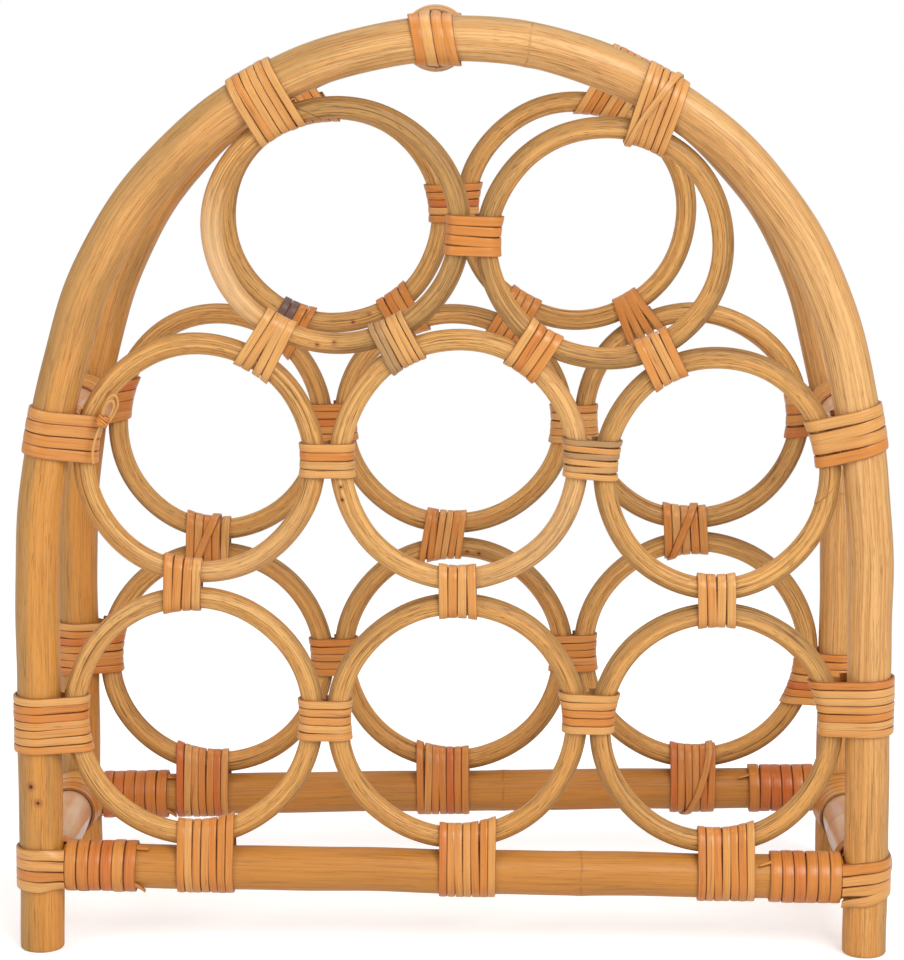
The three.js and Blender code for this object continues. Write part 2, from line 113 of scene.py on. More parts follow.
def linear(red: float, green: float, blue: float) -> Colour:
    """Makes a screen colour linear.

    Args:
        red: Red, from 0 to 255.
        green: Green, from 0 to 255.
        blue: Blue, from 0 to 255.

    Returns:
        The colour as a shader takes it.
    """
    def channel(value: float) -> float:
        """One channel, made linear."""
        share = value / 255
        return share / 12.92 if share <= 0.04045 else ((share + 0.055) / 1.055) ** 2.4

    return channel(red), channel(green), channel(blue)


def smooth(value: float) -> float:
    """Eases a value from 0 to 1, and holds it there outside."""
    held = min(max(value, 0.0), 1.0)
    return held * held * (3 - 2 * held)


def lerp(first: float, second: float, share: float) -> float:
    """The value that lies a share of the way from first to second."""
    return first + (second - first) * share


def path_length(points: Sequence[Vector]) -> float:
    """The length of the straight lines from point to point."""
    return sum((there - here).length for here, there in zip(points, points[1:]))


@dataclass(frozen=True)
class Drift:
    """A smooth, seeded variation along a length, as hand work has."""

    waves: tuple[tuple[float, float, float], ...]

    @classmethod
    def seeded(cls, seed: str, size: float, spans: tuple[float, ...]) -> "Drift":
        """Makes a drift.

        Args:
            seed: A name that fixes the variation.
            size: The largest deviation of one wave.
            spans: The lengths of its waves.

        Returns:
            The drift.
        """
        chance = random.Random(seed)
        waves = [(size * chance.uniform(0.5, 1), span, chance.uniform(0, math.tau)) for span in spans]
        return cls(tuple(waves))

    def at(self, distance: float) -> float:
        """The deviation at a distance."""
        return sum(size * math.sin(math.tau * distance / span + phase) for size, span, phase in self.waves)


# Shader expressions


class Term:
    """A shader socket that takes part in Python arithmetic."""

    def __init__(self, recipe: "Recipe", socket: bpy.types.NodeSocket) -> None:
        """Keeps the socket and the recipe that it belongs to."""
        self.recipe = recipe
        self.socket = socket

    def _math(self, operation: str, first: "Input", second: "Input") -> "Term":
        """Adds a Math node for one operation on two values."""
        return self.recipe.node("ShaderNodeMath", {"operation": operation}, {0: first, 1: second})

    def __add__(self, other: "Input") -> "Term":
        """This plus other."""
        return self._math("ADD", self, other)

    def __sub__(self, other: "Input") -> "Term":
        """This less other."""
        return self._math("SUBTRACT", self, other)

    def __rsub__(self, other: "Input") -> "Term":
        """Other less this."""
        return self._math("SUBTRACT", other, self)

    def __mul__(self, other: "Input") -> "Term":
        """This times other."""
        return self._math("MULTIPLY", self, other)

    def __abs__(self) -> "Term":
        """This without its sign."""
        return self._math("ABSOLUTE", self, 0.0)


Input = Union[Term, float, tuple[float, ...]]
Owner = Union[bpy.types.Material, bpy.types.World]


class Recipe:
    """The node tree of one material, or of the world, built by expressions."""

    def __init__(self, owner: Owner) -> None:
        """Empties the node tree of a new material or world.

        Args:
            owner: The material or the world.
        """
        owner.use_nodes = True
        self.owner = owner
        self.nodes = owner.node_tree.nodes
        self.links = owner.node_tree.links
        self.nodes.clear()

    def node(
        self,
        kind: str,
        settings: dict[str, object],
        inputs: dict[Union[int, str], Input],
        output: Union[int, str] = 0,
    ) -> Term:
        """Adds a node.

        Args:
            kind: The node's type.
            settings: Its settings, set before its sockets.
            inputs: Values or terms for its sockets, by name or number.
            output: The socket that the result is read from.

        Returns:
            The node's output as a term.
        """
        made = self.nodes.new(kind)
        for setting, value in settings.items():
            setattr(made, setting, value)
        for key, value in inputs.items():
            socket = made.inputs[key]
            if isinstance(value, Term):
                self.links.new(value.socket, socket)
            elif isinstance(value, tuple) and len(value) == 3 and socket.type == "RGBA":
                socket.default_value = (*value, 1.0)
            else:
                socket.default_value = value
        return Term(self, made.outputs[output])

    def reading(self, attribute: str, output: str) -> Term:
        """Reads an attribute of the piece's own mesh, as a Vector or as a Fac."""
        return self.node("ShaderNodeAttribute", {"attribute_name": attribute}, {}, output)

    def part(self, vector: Term, axis: str) -> Term:
        """One coordinate of a vector, X, Y or Z."""
        return self.node("ShaderNodeSeparateXYZ", {}, {0: vector}, axis)

    def grain(self, place: Term, across: float, along: float, detail: float = 2.0) -> Term:
        """Noise that is drawn out along the fibres.

        Args:
            place: A point of the straight stock, with z along it.
            across: The size of the noise across the fibres, in metres.
            along: The size of the noise along them, in metres.
            detail: How many finer layers are added.

        Returns:
            The noise, about 0.5 on average.
        """
        scale = (1 / across, 1 / across, 1 / along)
        scaled = self.node("ShaderNodeVectorMath", {"operation": "MULTIPLY"}, {0: place, 1: scale})
        return self.node("ShaderNodeTexNoise", {}, {"Vector": scaled, "Scale": 1.0, "Detail": detail})

    def fade(self, value: Term, low: float, high: float) -> Term:
        """Eases a value to 0 below low and to 1 above high."""
        settings = {"interpolation_type": "SMOOTHSTEP"}
        return self.node("ShaderNodeMapRange", settings, {"Value": value, "From Min": low, "From Max": high})

    def blend(self, share: Input, first: Input, second: Input) -> Term:
        """Mixes two colours: first where share is 0, second where it is 1."""
        return self.node("ShaderNodeMix", {"data_type": "RGBA"}, {0: share, 6: first, 7: second}, 2)

    def near(self, spot: Point) -> Term:
        """The distance from a spot of the object."""
        place = self.node("ShaderNodeTexCoord", {}, {}, "Object")
        return self.node("ShaderNodeVectorMath", {"operation": "DISTANCE"}, {0: place, 1: spot}, "Value")

    def layered(self, base: Input, layers: list[tuple[Term, Colour]]) -> Input:
        """Lays colours over a base, one after the other.

        Args:
            base: The colour below.
            layers: The share and the colour of each layer.

        Returns:
            The colour seen.
        """
        for share, colour in layers:
            base = self.blend(share, base, colour)
        return base

    def surface(
        self, colour: Input, roughness: Term, height: Term, relief: float, gloss: float
    ) -> bpy.types.Material:
        """Finishes the material.

        Args:
            colour: The base colour.
            roughness: The roughness.
            height: The height of the relief, from 0 to 1.
            relief: The depth of the relief, in metres.
            gloss: The weight of the clear coat.

        Returns:
            The material.
        """
        bump = {"Strength": 1.0, "Distance": relief, "Height": height}
        inputs = {
            "Base Color": colour,
            "Roughness": roughness,
            "Normal": self.node("ShaderNodeBump", {}, bump),
            "Coat Weight": gloss,
            "Coat Roughness": 0.28,
            "Specular IOR Level": 0.4,
        }
        return self.ended("ShaderNodeOutputMaterial", self.node("ShaderNodeBsdfPrincipled", {}, inputs))

    def ended(self, kind: str, shader: Term) -> Owner:
        """The material or world, with a shader sent to an output node of this type."""
        self.links.new(shader.socket, self.nodes.new(kind).inputs["Surface"])
        return self.owner


# Finishes


@dataclass(frozen=True)
class PoleFinish:
    """Rattan with its bark off: lengthwise fibres, thin dark lines, short dashes, and an olive outer side
    that is partly the rattan's own colour and partly painted shade at the pole's outer edge.
    """

    name: str
    pale: Colour
    deep: Colour
    # Olive brown for random patches, and for the outer side, where it is partly painted shade
    aged_and_edge_shade: Colour
    foot: Colour
    fibre: Colour
    radius: float
    fibre_width: float
    fibre_length: float
    contrast: float
    lines: float
    # How strongly the outer side turns olive: partly the rattan's own colour, partly painted shade at the
    # outer edge
    olive: float
    relief: float
    roughness: float
    gloss: float
    knots: tuple[Point, ...] = ()
    knot_size: float = 0.0012
    foot_height: float = 0.2
    foot_slant: float = 0.0
    low_tone_colour: Colour = (0.0, 0.0, 0.0)

    def material(self) -> bpy.types.Material:
        """Builds the material.

        Returns:
            The material.
        """
        recipe = Recipe(bpy.data.materials.new(self.name))
        straight, tone = recipe.reading("straight", "Vector"), recipe.reading("tone", "Fac")
        broad = recipe.grain(straight, self.fibre_width * 4, self.fibre_length * 4)
        patch = recipe.grain(straight, 0.012, 0.07)
        fine = recipe.grain(straight, self.fibre_width, self.fibre_length)
        # The outer side: the olive laid there is partly the rattan's own colour and partly painted shade at
        # the pole's outer edge
        outer = recipe.part(straight, "X") * (1 / self.radius) + (broad - 0.5) + tone * 2
        dark = self._lines(recipe, straight, patch)
        offset = recipe.reading("node", "Fac") + (patch - 0.5) * 0.003
        joint = (1 - recipe.fade(abs(offset), 0.0002, 0.0009)) * recipe.fade(broad, 0.35, 0.6)
        layers = [
            (recipe.fade(broad, 0.36, 0.64), self.pale),
            (self._low(recipe, patch), self.foot),
            # Olive outer side: partly own colour, partly painted shade
            (recipe.fade(outer, 0.0, 0.75) * self.olive, self.aged_and_edge_shade),
            (recipe.fade(patch + tone, 0.5, 0.76) * 0.5, self.aged_and_edge_shade),
            ((1 - recipe.fade(fine, 0.34, 0.56)) * self.contrast, self.fibre),
            (dark * self.lines, self.fibre),
            (joint * 0.35, self.fibre),
            # Paler where the pole's tone is well below zero, as on one side of some rings
            (recipe.fade(0.0 - tone, 0.3, 0.7) * 0.75, self.low_tone_colour),
        ]
        for knot in self.knots:
            reach = recipe.near(knot) + (fine - 0.5) * 0.001
            halo = 1 - recipe.fade(reach, self.knot_size, self.knot_size * 2.6)
            core = 1 - recipe.fade(reach, self.knot_size * 0.5, self.knot_size)
            layers += [(halo * 0.5, KNOT_HALO), (core, KNOT)]
        height = fine * 0.6 - dark * 0.4 - joint * 0.3
        colour = recipe.layered(self.deep, layers)
        return recipe.surface(colour, dark * 0.15 + self.roughness, height, self.relief, self.gloss)

    def _low(self, recipe: Recipe, patch: Term) -> Term:
        """How near the floor a point is, with a ragged upper end.

        Args:
            recipe: The recipe.
            patch: Broad noise.

        Returns:
            The nearness, from 0 to 0.8.
        """
        place = recipe.node("ShaderNodeTexCoord", {}, {}, "Object")
        height = recipe.part(place, "Z") + recipe.part(place, "X") * self.foot_slant + (patch - 0.5) * 0.1
        return (1 - recipe.fade(height, 0.02, self.foot_height)) * 0.8

    def _lines(self, recipe: Recipe, straight: Term, patch: Term) -> Term:
        """Thin dark lines between the fibres, and short dashes.

        Args:
            recipe: The recipe.
            straight: A point of the straight pole.
            patch: Broad noise.

        Returns:
            How dark a point is, from 0 to 1.
        """
        cells = recipe.grain(straight, self.fibre_width * 1.9, self.fibre_length * 1.6, 1.0)
        gate = recipe.grain(straight, self.fibre_width * 3, self.fibre_length, 0.0)
        thin = (1 - recipe.fade(abs(cells - 0.5), 0.004, 0.03)) * recipe.fade(gate + (patch - 0.5), 0.4, 0.62)
        dashes = recipe.fade(recipe.grain(straight, self.fibre_width * 0.45, 0.006, 0.0), 0.66, 0.76)
        return recipe.node("ShaderNodeMath", {"operation": "MAXIMUM"}, {0: thin, 1: dashes * 0.8})


@dataclass(frozen=True)
class SkinFinish:
    """Rattan with its skin on: smooth, pinkish and glossy, with a few scars."""

    name: str
    pale: Colour
    pink: Colour
    scar: Colour
    roughness: float
    gloss: float
    relief: float = 0.00006

    def material(self) -> bpy.types.Material:
        """Builds the material.

        Returns:
            The material.
        """
        recipe = Recipe(bpy.data.materials.new(self.name))
        straight = recipe.reading("straight", "Vector")
        cloud = recipe.grain(straight, 0.012, 0.03)
        lines = recipe.grain(straight, 0.0012, 0.05)
        scarred = recipe.fade(recipe.grain(straight, 0.007, 0.012) + (lines - 0.5) * 0.4, 0.68, 0.78)
        line = 1 - recipe.fade(abs(recipe.reading("node", "Fac")), 0.0003, 0.001)
        layers = [
            (recipe.fade(cloud, 0.3, 0.72), self.pink),
            ((1 - recipe.fade(lines, 0.3, 0.5)) * 0.1, self.scar),
            (scarred * 0.5, self.scar),
            (line * 0.4, self.scar),
        ]
        height = lines * 0.3 - line * 0.5
        colour = recipe.layered(self.pale, layers)
        return recipe.surface(colour, scarred * 0.3 + self.roughness, height, self.relief, self.gloss)


@dataclass(frozen=True)
class CaneFinish:
    """Split cane: glossy strips, each of its own tan or orange, with fine lines, and dark edges that are
    partly the cut edge's own colour and partly painted shade in the gaps between strips.
    """

    name: str
    old: Colour
    grey: Colour
    pale: Colour
    warm: Colour
    red: Colour
    dark: Colour
    roughness: float
    gloss: float
    relief: float = 0.00009

    def material(self) -> bpy.types.Material:
        """Builds the material.

        Returns:
            The material.
        """
        recipe = Recipe(bpy.data.materials.new(self.name))
        straight = recipe.reading("straight", "Vector")
        broad = recipe.grain(straight, 0.0018, 0.05)
        lines = recipe.grain(straight, 0.00032, 0.022)
        specks = recipe.grain(straight, 0.0006, 0.004)
        share = recipe.reading("tint", "Fac") + (broad - 0.5) * 0.4
        valleys = 1 - recipe.fade(lines, 0.36, 0.52)
        crack = 1 - recipe.fade(abs(recipe.grain(straight, 0.0026, 0.09, 1.0) - 0.5), 0.002, 0.014)
        # Dark strip edges: partly the cut edge's own colour, partly painted shade in the gaps between
        # neighbouring strips
        edge_and_gap_shade = recipe.fade(recipe.reading("edge", "Fac") + (lines - 0.5) * 0.5, 0.8, 1.05)
        layers = [
            (recipe.fade(share, -1.4, -0.9), self.grey),
            (recipe.fade(share, -0.4, 0.1), self.pale),
            (recipe.fade(share, 0.1, 0.62), self.warm),
            (recipe.fade(share, 0.62, 1.05), self.red),
            (valleys * 0.26, self.dark),
            (crack * recipe.fade(broad, 0.5, 0.62) * 0.5, self.dark),
            (recipe.fade(specks, 0.66, 0.74) * 0.35, self.dark),
            (edge_and_gap_shade * 0.75, self.dark),
        ]
        height = lines * 0.8 - edge_and_gap_shade * 0.4
        colour = recipe.layered(self.old, layers)
        return recipe.surface(colour, valleys * 0.12 + self.roughness, height, self.relief, self.gloss)


KNOT = linear(70, 32, 18)
KNOT_HALO = linear(150, 70, 30)

ARCH_FINISH = PoleFinish(
    name="sanded_arch",
    pale=linear(227, 176, 112),
    deep=linear(210, 153, 88),
    aged_and_edge_shade=linear(168, 129, 70),
    foot=linear(208, 136, 46),
    fibre=linear(126, 78, 34),
    radius=0.01,
    fibre_width=0.0005,
    fibre_length=0.036,
    contrast=0.3,
    lines=0.6,
    olive=0.62,
    relief=0.0001,
    roughness=0.46,
    gloss=0.12,
    knots=((-0.1907, -0.0748, 0.0782), (-0.1877, -0.0746, 0.0707)),
    foot_height=0.42,
    foot_slant=0.8,
    low_tone_colour=linear(234, 190, 130),
)
RAIL_FINISH = PoleFinish(
    name="sanded_rail",
    pale=linear(206, 146, 70),
    deep=linear(188, 122, 50),
    aged_and_edge_shade=linear(176, 124, 62),
    foot=linear(196, 129, 50),
    fibre=linear(122, 70, 30),
    radius=0.01,
    fibre_width=0.0006,
    fibre_length=0.04,
    contrast=0.22,
    lines=0.3,
    olive=0.25,
    relief=0.0001,
    roughness=0.45,
    gloss=0.12,
)
RING_FINISH = PoleFinish(
    name="rattan_core",
    pale=linear(222, 168, 96),
    deep=linear(203, 143, 72),
    aged_and_edge_shade=linear(160, 120, 66),
    foot=linear(213, 151, 76),
    fibre=linear(100, 60, 28),
    radius=0.0049,
    fibre_width=0.0005,
    fibre_length=0.075,
    contrast=0.32,
    lines=0.85,
    olive=0.6,
    relief=0.00022,
    roughness=0.5,
    gloss=0.06,
    knots=(
        (-0.0498, -0.0698, 0.2158),
        (-0.0494, -0.0698, 0.2099),
        (-0.0602, -0.0698, 0.2799),
        (-0.0526, -0.0698, 0.2813),
        (-0.0509, 0.06, 0.2728),
        (-0.0431, 0.06, 0.2768),
        (0.0046, 0.06, 0.1591),
        (0.0104, 0.06, 0.1582),
    ),
    knot_size=0.0008,
    foot_height=0.16,
    low_tone_colour=linear(232, 190, 142),
)
SKIN_FINISH = SkinFinish(
    name="stretcher_skin",
    pale=linear(224, 184, 142),
    pink=linear(206, 154, 122),
    scar=linear(150, 108, 64),
    roughness=0.26,
    gloss=0.4,
)
CANE_FINISH = CaneFinish(
    name="split_cane",
    old=linear(112, 84, 72),
    grey=linear(176, 134, 84),
    pale=linear(219, 160, 88),
    warm=linear(207, 129, 50),
    red=linear(200, 104, 39),
    dark=linear(108, 50, 24),
    roughness=0.34,
    gloss=0.28,
)
FINISHES = {
    Stock.ARCH: ARCH_FINISH,
    Stock.RAIL: RAIL_FINISH,
    Stock.RING: RING_FINISH,
    Stock.STRETCHER: SKIN_FINISH,
    Stock.CANE: CANE_FINISH,
}


# Modelling straight stock


def only(piece: bpy.types.Object) -> None:
    """Makes a piece the active one, and the only one that is selected.

    Args:
        piece: The piece.
    """
    bpy.ops.object.select_all(action="DESELECT")
    piece.select_set(True)
    bpy.context.view_layer.objects.active = piece


def pick_edges(piece: bpy.types.Object, wanted: Callable[[Vector, Vector], bool]) -> None:
    """Selects, in edit mode, the edges whose two ends pass a test.

    Args:
        piece: The piece that is being edited.
        wanted: The test of an edge's two ends.
    """
    bpy.ops.mesh.select_all(action="DESELECT")
    mesh = bmesh.from_edit_mesh(piece.data)
    for edge in mesh.edges:
        edge.select_set(wanted(edge.verts[0].co, edge.verts[1].co))
    bmesh.update_edit_mesh(piece.data)


def runs_along(first: Vector, second: Vector) -> bool:
    """Whether an edge runs along the stock, which is along Z."""
    return (first.xy - second.xy).length < SAME


def is_level(first: Vector, second: Vector) -> bool:
    """Whether an edge lies level, across the stock."""
    return abs(first.z - second.z) < SAME


def runs_across(first: Vector, second: Vector) -> bool:
    """Whether an edge runs across a strip, which is along X."""
    return abs(first.y - second.y) < SAME and is_level(first, second)


@dataclass
class Workbench:
    """Models straight stock once for each size, hands out copies, and finishes what is made of them."""

    materials: dict[Stock, bpy.types.Material]
    nodes: dict[str, bpy.types.Object]
    smooth_angle: float = 50.0
    end_rounding: float = 0.12
    thickness: float = 0.0011
    crowning: float = 0.00014
    rounding: float = 0.0003
    patterns: dict[tuple[float, ...], bpy.types.Object] = field(default_factory=dict)

    def pole(self, radius: float, length: float, sides: int, passes: tuple[int, ...]) -> bpy.types.Object:
        """A straight pole from z 0 up, with rounded ends.

        Args:
            radius: Its radius.
            length: Its length.
            sides: How many sides it has.
            passes: How many cuts each pass makes in each stretch.

        Returns:
            A copy of the pole.
        """
        key = (radius, length, sides, *passes)
        if key not in self.patterns:
            bpy.ops.mesh.primitive_cylinder_add(
                vertices=sides, radius=radius, depth=length, location=(0, 0, length / 2)
            )
            self.patterns[key] = self._started()
            bpy.ops.mesh.select_mode(type="EDGE")
            pick_edges(self.patterns[key], is_level)
            bpy.ops.mesh.bevel(offset=radius * self.end_rounding, segments=3)
            self._divide(self.patterns[key], passes)
        return self._copied(key)

    def strip(self, width: float, passes: tuple[int, ...]) -> bpy.types.Object:
        """A straight strip of cane, flat below and crowned above, from z 0 to 1.

        Args:
            width: Its width.
            passes: How many cuts each pass makes in each stretch.

        Returns:
            A copy of the strip.
        """
        key = (width, *passes)
        if key not in self.patterns:
            bpy.ops.mesh.primitive_cube_add(
                size=1, location=(0, self.thickness / 2, 0.5), scale=(width, self.thickness, 1)
            )
            piece = self.patterns[key] = self._started()
            bpy.ops.mesh.select_mode(type="EDGE")
            middle = self.thickness / 2
            pick_edges(piece, lambda first, second: runs_along(first, second) and first.y > middle)
            bpy.ops.mesh.bevel(offset=self.rounding, segments=2)
            pick_edges(piece, runs_across)
            bpy.ops.mesh.subdivide(number_cuts=3)
            pick_edges(piece, runs_along)
            self._divide(piece, passes)
            for vertex in piece.data.vertices:
                rise = 1 - (2 * vertex.co.x / width) ** 2
                vertex.co.y += self.crowning * rise * (vertex.co.y > middle)
        return self._copied(key)

    def _started(self) -> bpy.types.Object:
        """Applies the new primitive's place and size, and opens it for editing.

        Returns:
            The primitive.
        """
        piece = bpy.context.active_object
        only(piece)
        bpy.ops.object.transform_apply(location=True, rotation=True, scale=True)
        bpy.ops.object.mode_set(mode="EDIT")
        return piece

    def _divide(self, piece: bpy.types.Object, passes: tuple[int, ...]) -> None:
        """Cuts the stock across, pass by pass, and closes it for editing.

        Args:
            piece: The stock.
            passes: How many cuts each pass makes in each stretch.
        """
        for cuts in passes:
            pick_edges(piece, runs_along)
            bpy.ops.mesh.subdivide(number_cuts=cuts)
        bpy.ops.object.mode_set(mode="OBJECT")

    def _copied(self, key: tuple[float, ...]) -> bpy.types.Object:
        """Copies a pattern.

        Args:
            key: The pattern's sizes.

        Returns:
            The copy, with its own mesh.
        """
        piece = self.patterns[key].copy()
        piece.data = piece.data.copy()
        bpy.context.scene.collection.objects.link(piece)
        return piece

    def finish(self, piece: bpy.types.Object, name: str, stock: Stock, node: str = "") -> None:
        """Names and dresses a piece, and sets it on its body.

        Args:
            piece: The piece.
            name: Its name.
            stock: The kind of rattan.
            node: The node that it stands for, if the frame has one of that name.
        """
        piece.name = name
        piece.data.name = name
        piece.data.materials.clear()
        piece.data.materials.append(self.materials[stock])
        only(piece)
        bpy.ops.object.shade_smooth_by_angle(angle=math.radians(self.smooth_angle))
        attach(piece, BODY)
        if node in self.nodes:
            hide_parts(node)
        log.info("%s: %d faces", name, len(piece.data.polygons))

    def clear(self) -> None:
        """Removes the patterns."""
        for pattern in self.patterns.values():
            bpy.data.objects.remove(pattern)
        self.patterns.clear()


def rows(piece: bpy.types.Object) -> np.ndarray:
    """Reads the places of a piece's vertices.

    Args:
        piece: The piece.

    Returns:
        One row for each vertex.
    """
    flat = np.empty(len(piece.data.vertices) * 3)
    piece.data.vertices.foreach_get("co", flat)
    return flat.reshape(-1, 3)


def mark(piece: bpy.types.Object, name: str, values: np.ndarray) -> None:
    """Stores numbers, or points, on a piece's vertices.

    Args:
        piece: The piece.
        name: The attribute's name.
        values: One row for each vertex.
    """
    kind, part = ("FLOAT_VECTOR", "vector") if values.ndim == 2 else ("FLOAT", "value")
    attribute = piece.data.attributes.new(name, kind, "POINT")
    attribute.data.foreach_set(part, values.ravel())


# Routes that poles follow


@dataclass(frozen=True)
class Station:
    """A point of a route, with the two directions across it."""

    point: Vector
    first: Vector
    second: Vector


class Route(Protocol):
    """A line that a pole follows."""

    length: float

    def at(self, distance: float) -> Station:
        """The station at a distance from the route's start."""


@dataclass(frozen=True)
class Line:
    """A straight route."""

    start: Vector
    end: Vector
    first: Vector
    second: Vector

    @property
    def length(self) -> float:
        """The length of the line."""
        return (self.end - self.start).length

    def at(self, distance: float) -> Station:
        """The station at a distance from the start."""
        return Station(self.start.lerp(self.end, distance / self.length), self.first, self.second)


@dataclass(frozen=True)
class Bow:
    """Part of an oval in the plane of a frame, from one angle to another."""

    middle: Vector
    wide: float
    tall: float
    start: float
    end: float

    @property
    def length(self) -> float:
        """The length of a round bow with the oval's mean radius."""
        return (self.wide + self.tall) / 2 * (self.end - self.start)

    def at(self, distance: float) -> Station:
        """Finds a station.

        Args:
            distance: The distance from the start.

        Returns:
            The station there.
        """
        angle = lerp(self.start, self.end, distance / self.length)
        point = self.middle + Vector((self.wide * math.cos(angle), 0, self.tall * math.sin(angle)))
        outward = Vector((self.tall * math.cos(angle), 0, self.wide * math.sin(angle))).normalized()
        return Station(point, outward, BACK)


@dataclass(frozen=True)
class Chain:
    """Routes that follow on from each other."""

    links: tuple[Route, ...]

    @property
    def length(self) -> float:
        """The length of all the links."""
        return sum(link.length for link in self.links)

    def at(self, distance: float) -> Station:
        """Finds a station.

        Args:
            distance: The distance from the first link's start.

        Returns:
            The station there.
        """
        rest = distance
        for link in self.links[:-1]:
            if rest < link.length:
                return link.at(rest)
            rest -= link.length
        return self.links[-1].at(min(rest, self.links[-1].length))


@dataclass(frozen=True)
class Tone:
    """How much darker a pole is than its kind, and how much paler it gets towards one side of a ring."""

    base: float = 0.0
    swing: float = 0.0
    palest: float = 180.0

    def along(self, places: np.ndarray) -> np.ndarray:
        """The tone at each place of a pole.

        Args:
            places: One row for each place.

        Returns:
            One number for each place.
        """
        aside = places - (places.max(axis=0) + places.min(axis=0)) / 2
        angle = math.radians(self.palest)
        toward = aside[:, 0] * math.cos(angle) + aside[:, 2] * math.sin(angle)
        return self.base - self.swing * np.clip(toward / max(float(np.abs(toward).max()), 1e-6), 0, 1)


@dataclass(frozen=True)
class PoleStyle:
    """How a kind of pole is made. Where the stock has a length, all of the kind are bent from that length."""

    radius: float
    sides: int
    passes: tuple[int, ...]
    unevenness: float
    wander: float
    swelling: float = 0.0002
    swelling_length: float = 0.003
    splice: float = 0.0
    splice_reach: float = 0.03
    stock_length: float = 0.0


ARCH_STYLE = PoleStyle(0.01, 32, (20, 20), 0.005, 0.0002)
RAIL_STYLE = PoleStyle(0.01, 32, (12, 12), 0.005, 0.00015)
RING_STYLE = PoleStyle(0.0049, 20, (13, 11), 0.012, 0.00018, splice=1.4, stock_length=0.33)
STRETCHER_STYLE = PoleStyle(0.011, 32, (6, 6), 0.008, 0.0001)
STRAND_STYLE = PoleStyle(0.0007, 10, (40,), 0.12, 0.0)
# The lengths over which a pole's thickness, and its line to both sides, vary
GIRTH_SPANS = (0.07, 0.15, 0.34)
ASIDE_SPANS = (0.06, 0.13, 0.3)
OUT_SPANS = (0.05, 0.11, 0.26)


def bend_pole(
    bench: Workbench,
    seed: str,
    route: Route,
    style: PoleStyle,
    nodes: tuple[float, ...] = (),
    tone: Tone = Tone(),
) -> bpy.types.Object:
    """Bends a straight pole along a route, and marks it for its finish.

    Args:
        bench: Where straight poles come from.
        seed: A name that fixes its unevenness.
        route: The line that its middle follows.
        style: How its kind is made.
        nodes: The distances of its growth nodes along the route.
        tone: How much darker or paler it is than the rest.

    Returns:
        The bent pole.
    """
    stock_length = style.stock_length or round(route.length, 4)
    piece = bench.pole(style.radius, stock_length, style.sides, style.passes)
    shift = random.Random(seed).uniform(0, FARTHEST)
    girth = Drift.seeded(seed + " girth", style.unevenness, GIRTH_SPANS)
    aside = Drift.seeded(seed + " aside", style.wander, ASIDE_SPANS)
    out = Drift.seeded(seed + " out", style.wander, OUT_SPANS)
    straight = rows(piece)
    stations: dict[float, tuple[Station, float, float, float]] = {}
    places = np.empty_like(straight)
    gaps = np.full(len(straight), 1.0)
    for index, (x, y, z) in enumerate(straight):
        distance = z / stock_length * route.length
        end_gap = min(distance, route.length - distance)
        distance += style.splice * x * (1 - smooth(end_gap / style.splice_reach))
        key = round(distance, 6)
        if key not in stations:
            station = route.at(distance)
            centre = station.point + station.first * out.at(distance) + station.second * aside.at(distance)
            gap = min((distance - node for node in nodes), key=abs, default=1.0)
            swell = style.swelling * math.exp(-((gap / style.swelling_length) ** 2))
            station = replace(station, point=centre)
            stations[key] = (station, 1 + girth.at(distance), gap, swell)
        station, grown, gap, swell = stations[key]
        factor = grown + swell / math.hypot(x, y) if x or y else grown
        places[index] = station.point + station.first * (x * factor) + station.second * (y * factor)
        gaps[index] = gap
    straight[:, 2] = straight[:, 2] / stock_length * route.length + shift
    piece.data.vertices.foreach_set("co", places.ravel())
    mark(piece, "straight", straight)
    mark(piece, "node", gaps)
    mark(piece, "tone", tone.along(places))
    piece.data.update()
    return piece


# Joints, and what is wound round them


@dataclass(frozen=True)
class Oval:
    """A bent pole, seen by a joint: an oval band in the plane of the frame."""

    x: float
    z: float
    wide: float
    tall: float
    thickness: float
    side: int

    def cut(self, point: Vector, across: Vector) -> tuple[float, float]:
        """Where a line across cuts the band.

        Args:
            point: The line's start.
            across: The line's direction.

        Returns:
            The distance to the band's middle, and half its breadth there.
        """
        found = []
        for inset in (0.0, self.thickness):
            wide, tall = self.wide - inset, self.tall - inset
            px, pz = (point.x - self.x) / wide, (point.z - self.z) / tall
            ux, uz = across.x / wide, across.z / tall
            square = ux * ux + uz * uz
            slant = px * ux + pz * uz
            rest = px * px + pz * pz - 1
            found.append((-slant + self.side * math.sqrt(max(slant * slant - square * rest, 0))) / square)
        return (found[0] + found[1]) / 2, abs(found[0] - found[1]) / 2


@dataclass(frozen=True)
class Beam:
    """A straight pole, seen by a joint."""

    point: Vector
    direction: Vector
    thickness: float

    def cut(self, point: Vector, across: Vector) -> tuple[float, float]:
        """Where a line across cuts the pole.

        Args:
            point: The line's start.
            across: The line's direction.

        Returns:
            The distance to the pole's middle, and half its breadth there.
        """
        normal = self.direction.cross(BACK).normalized()
        rate = normal.dot(across)
        return normal.dot(self.point - point) / rate, abs(self.thickness / 2 / rate)


Member = Union[Oval, Beam]
# The number of straight steps that a turn's length is measured in
GIRTH_STEPS = 24


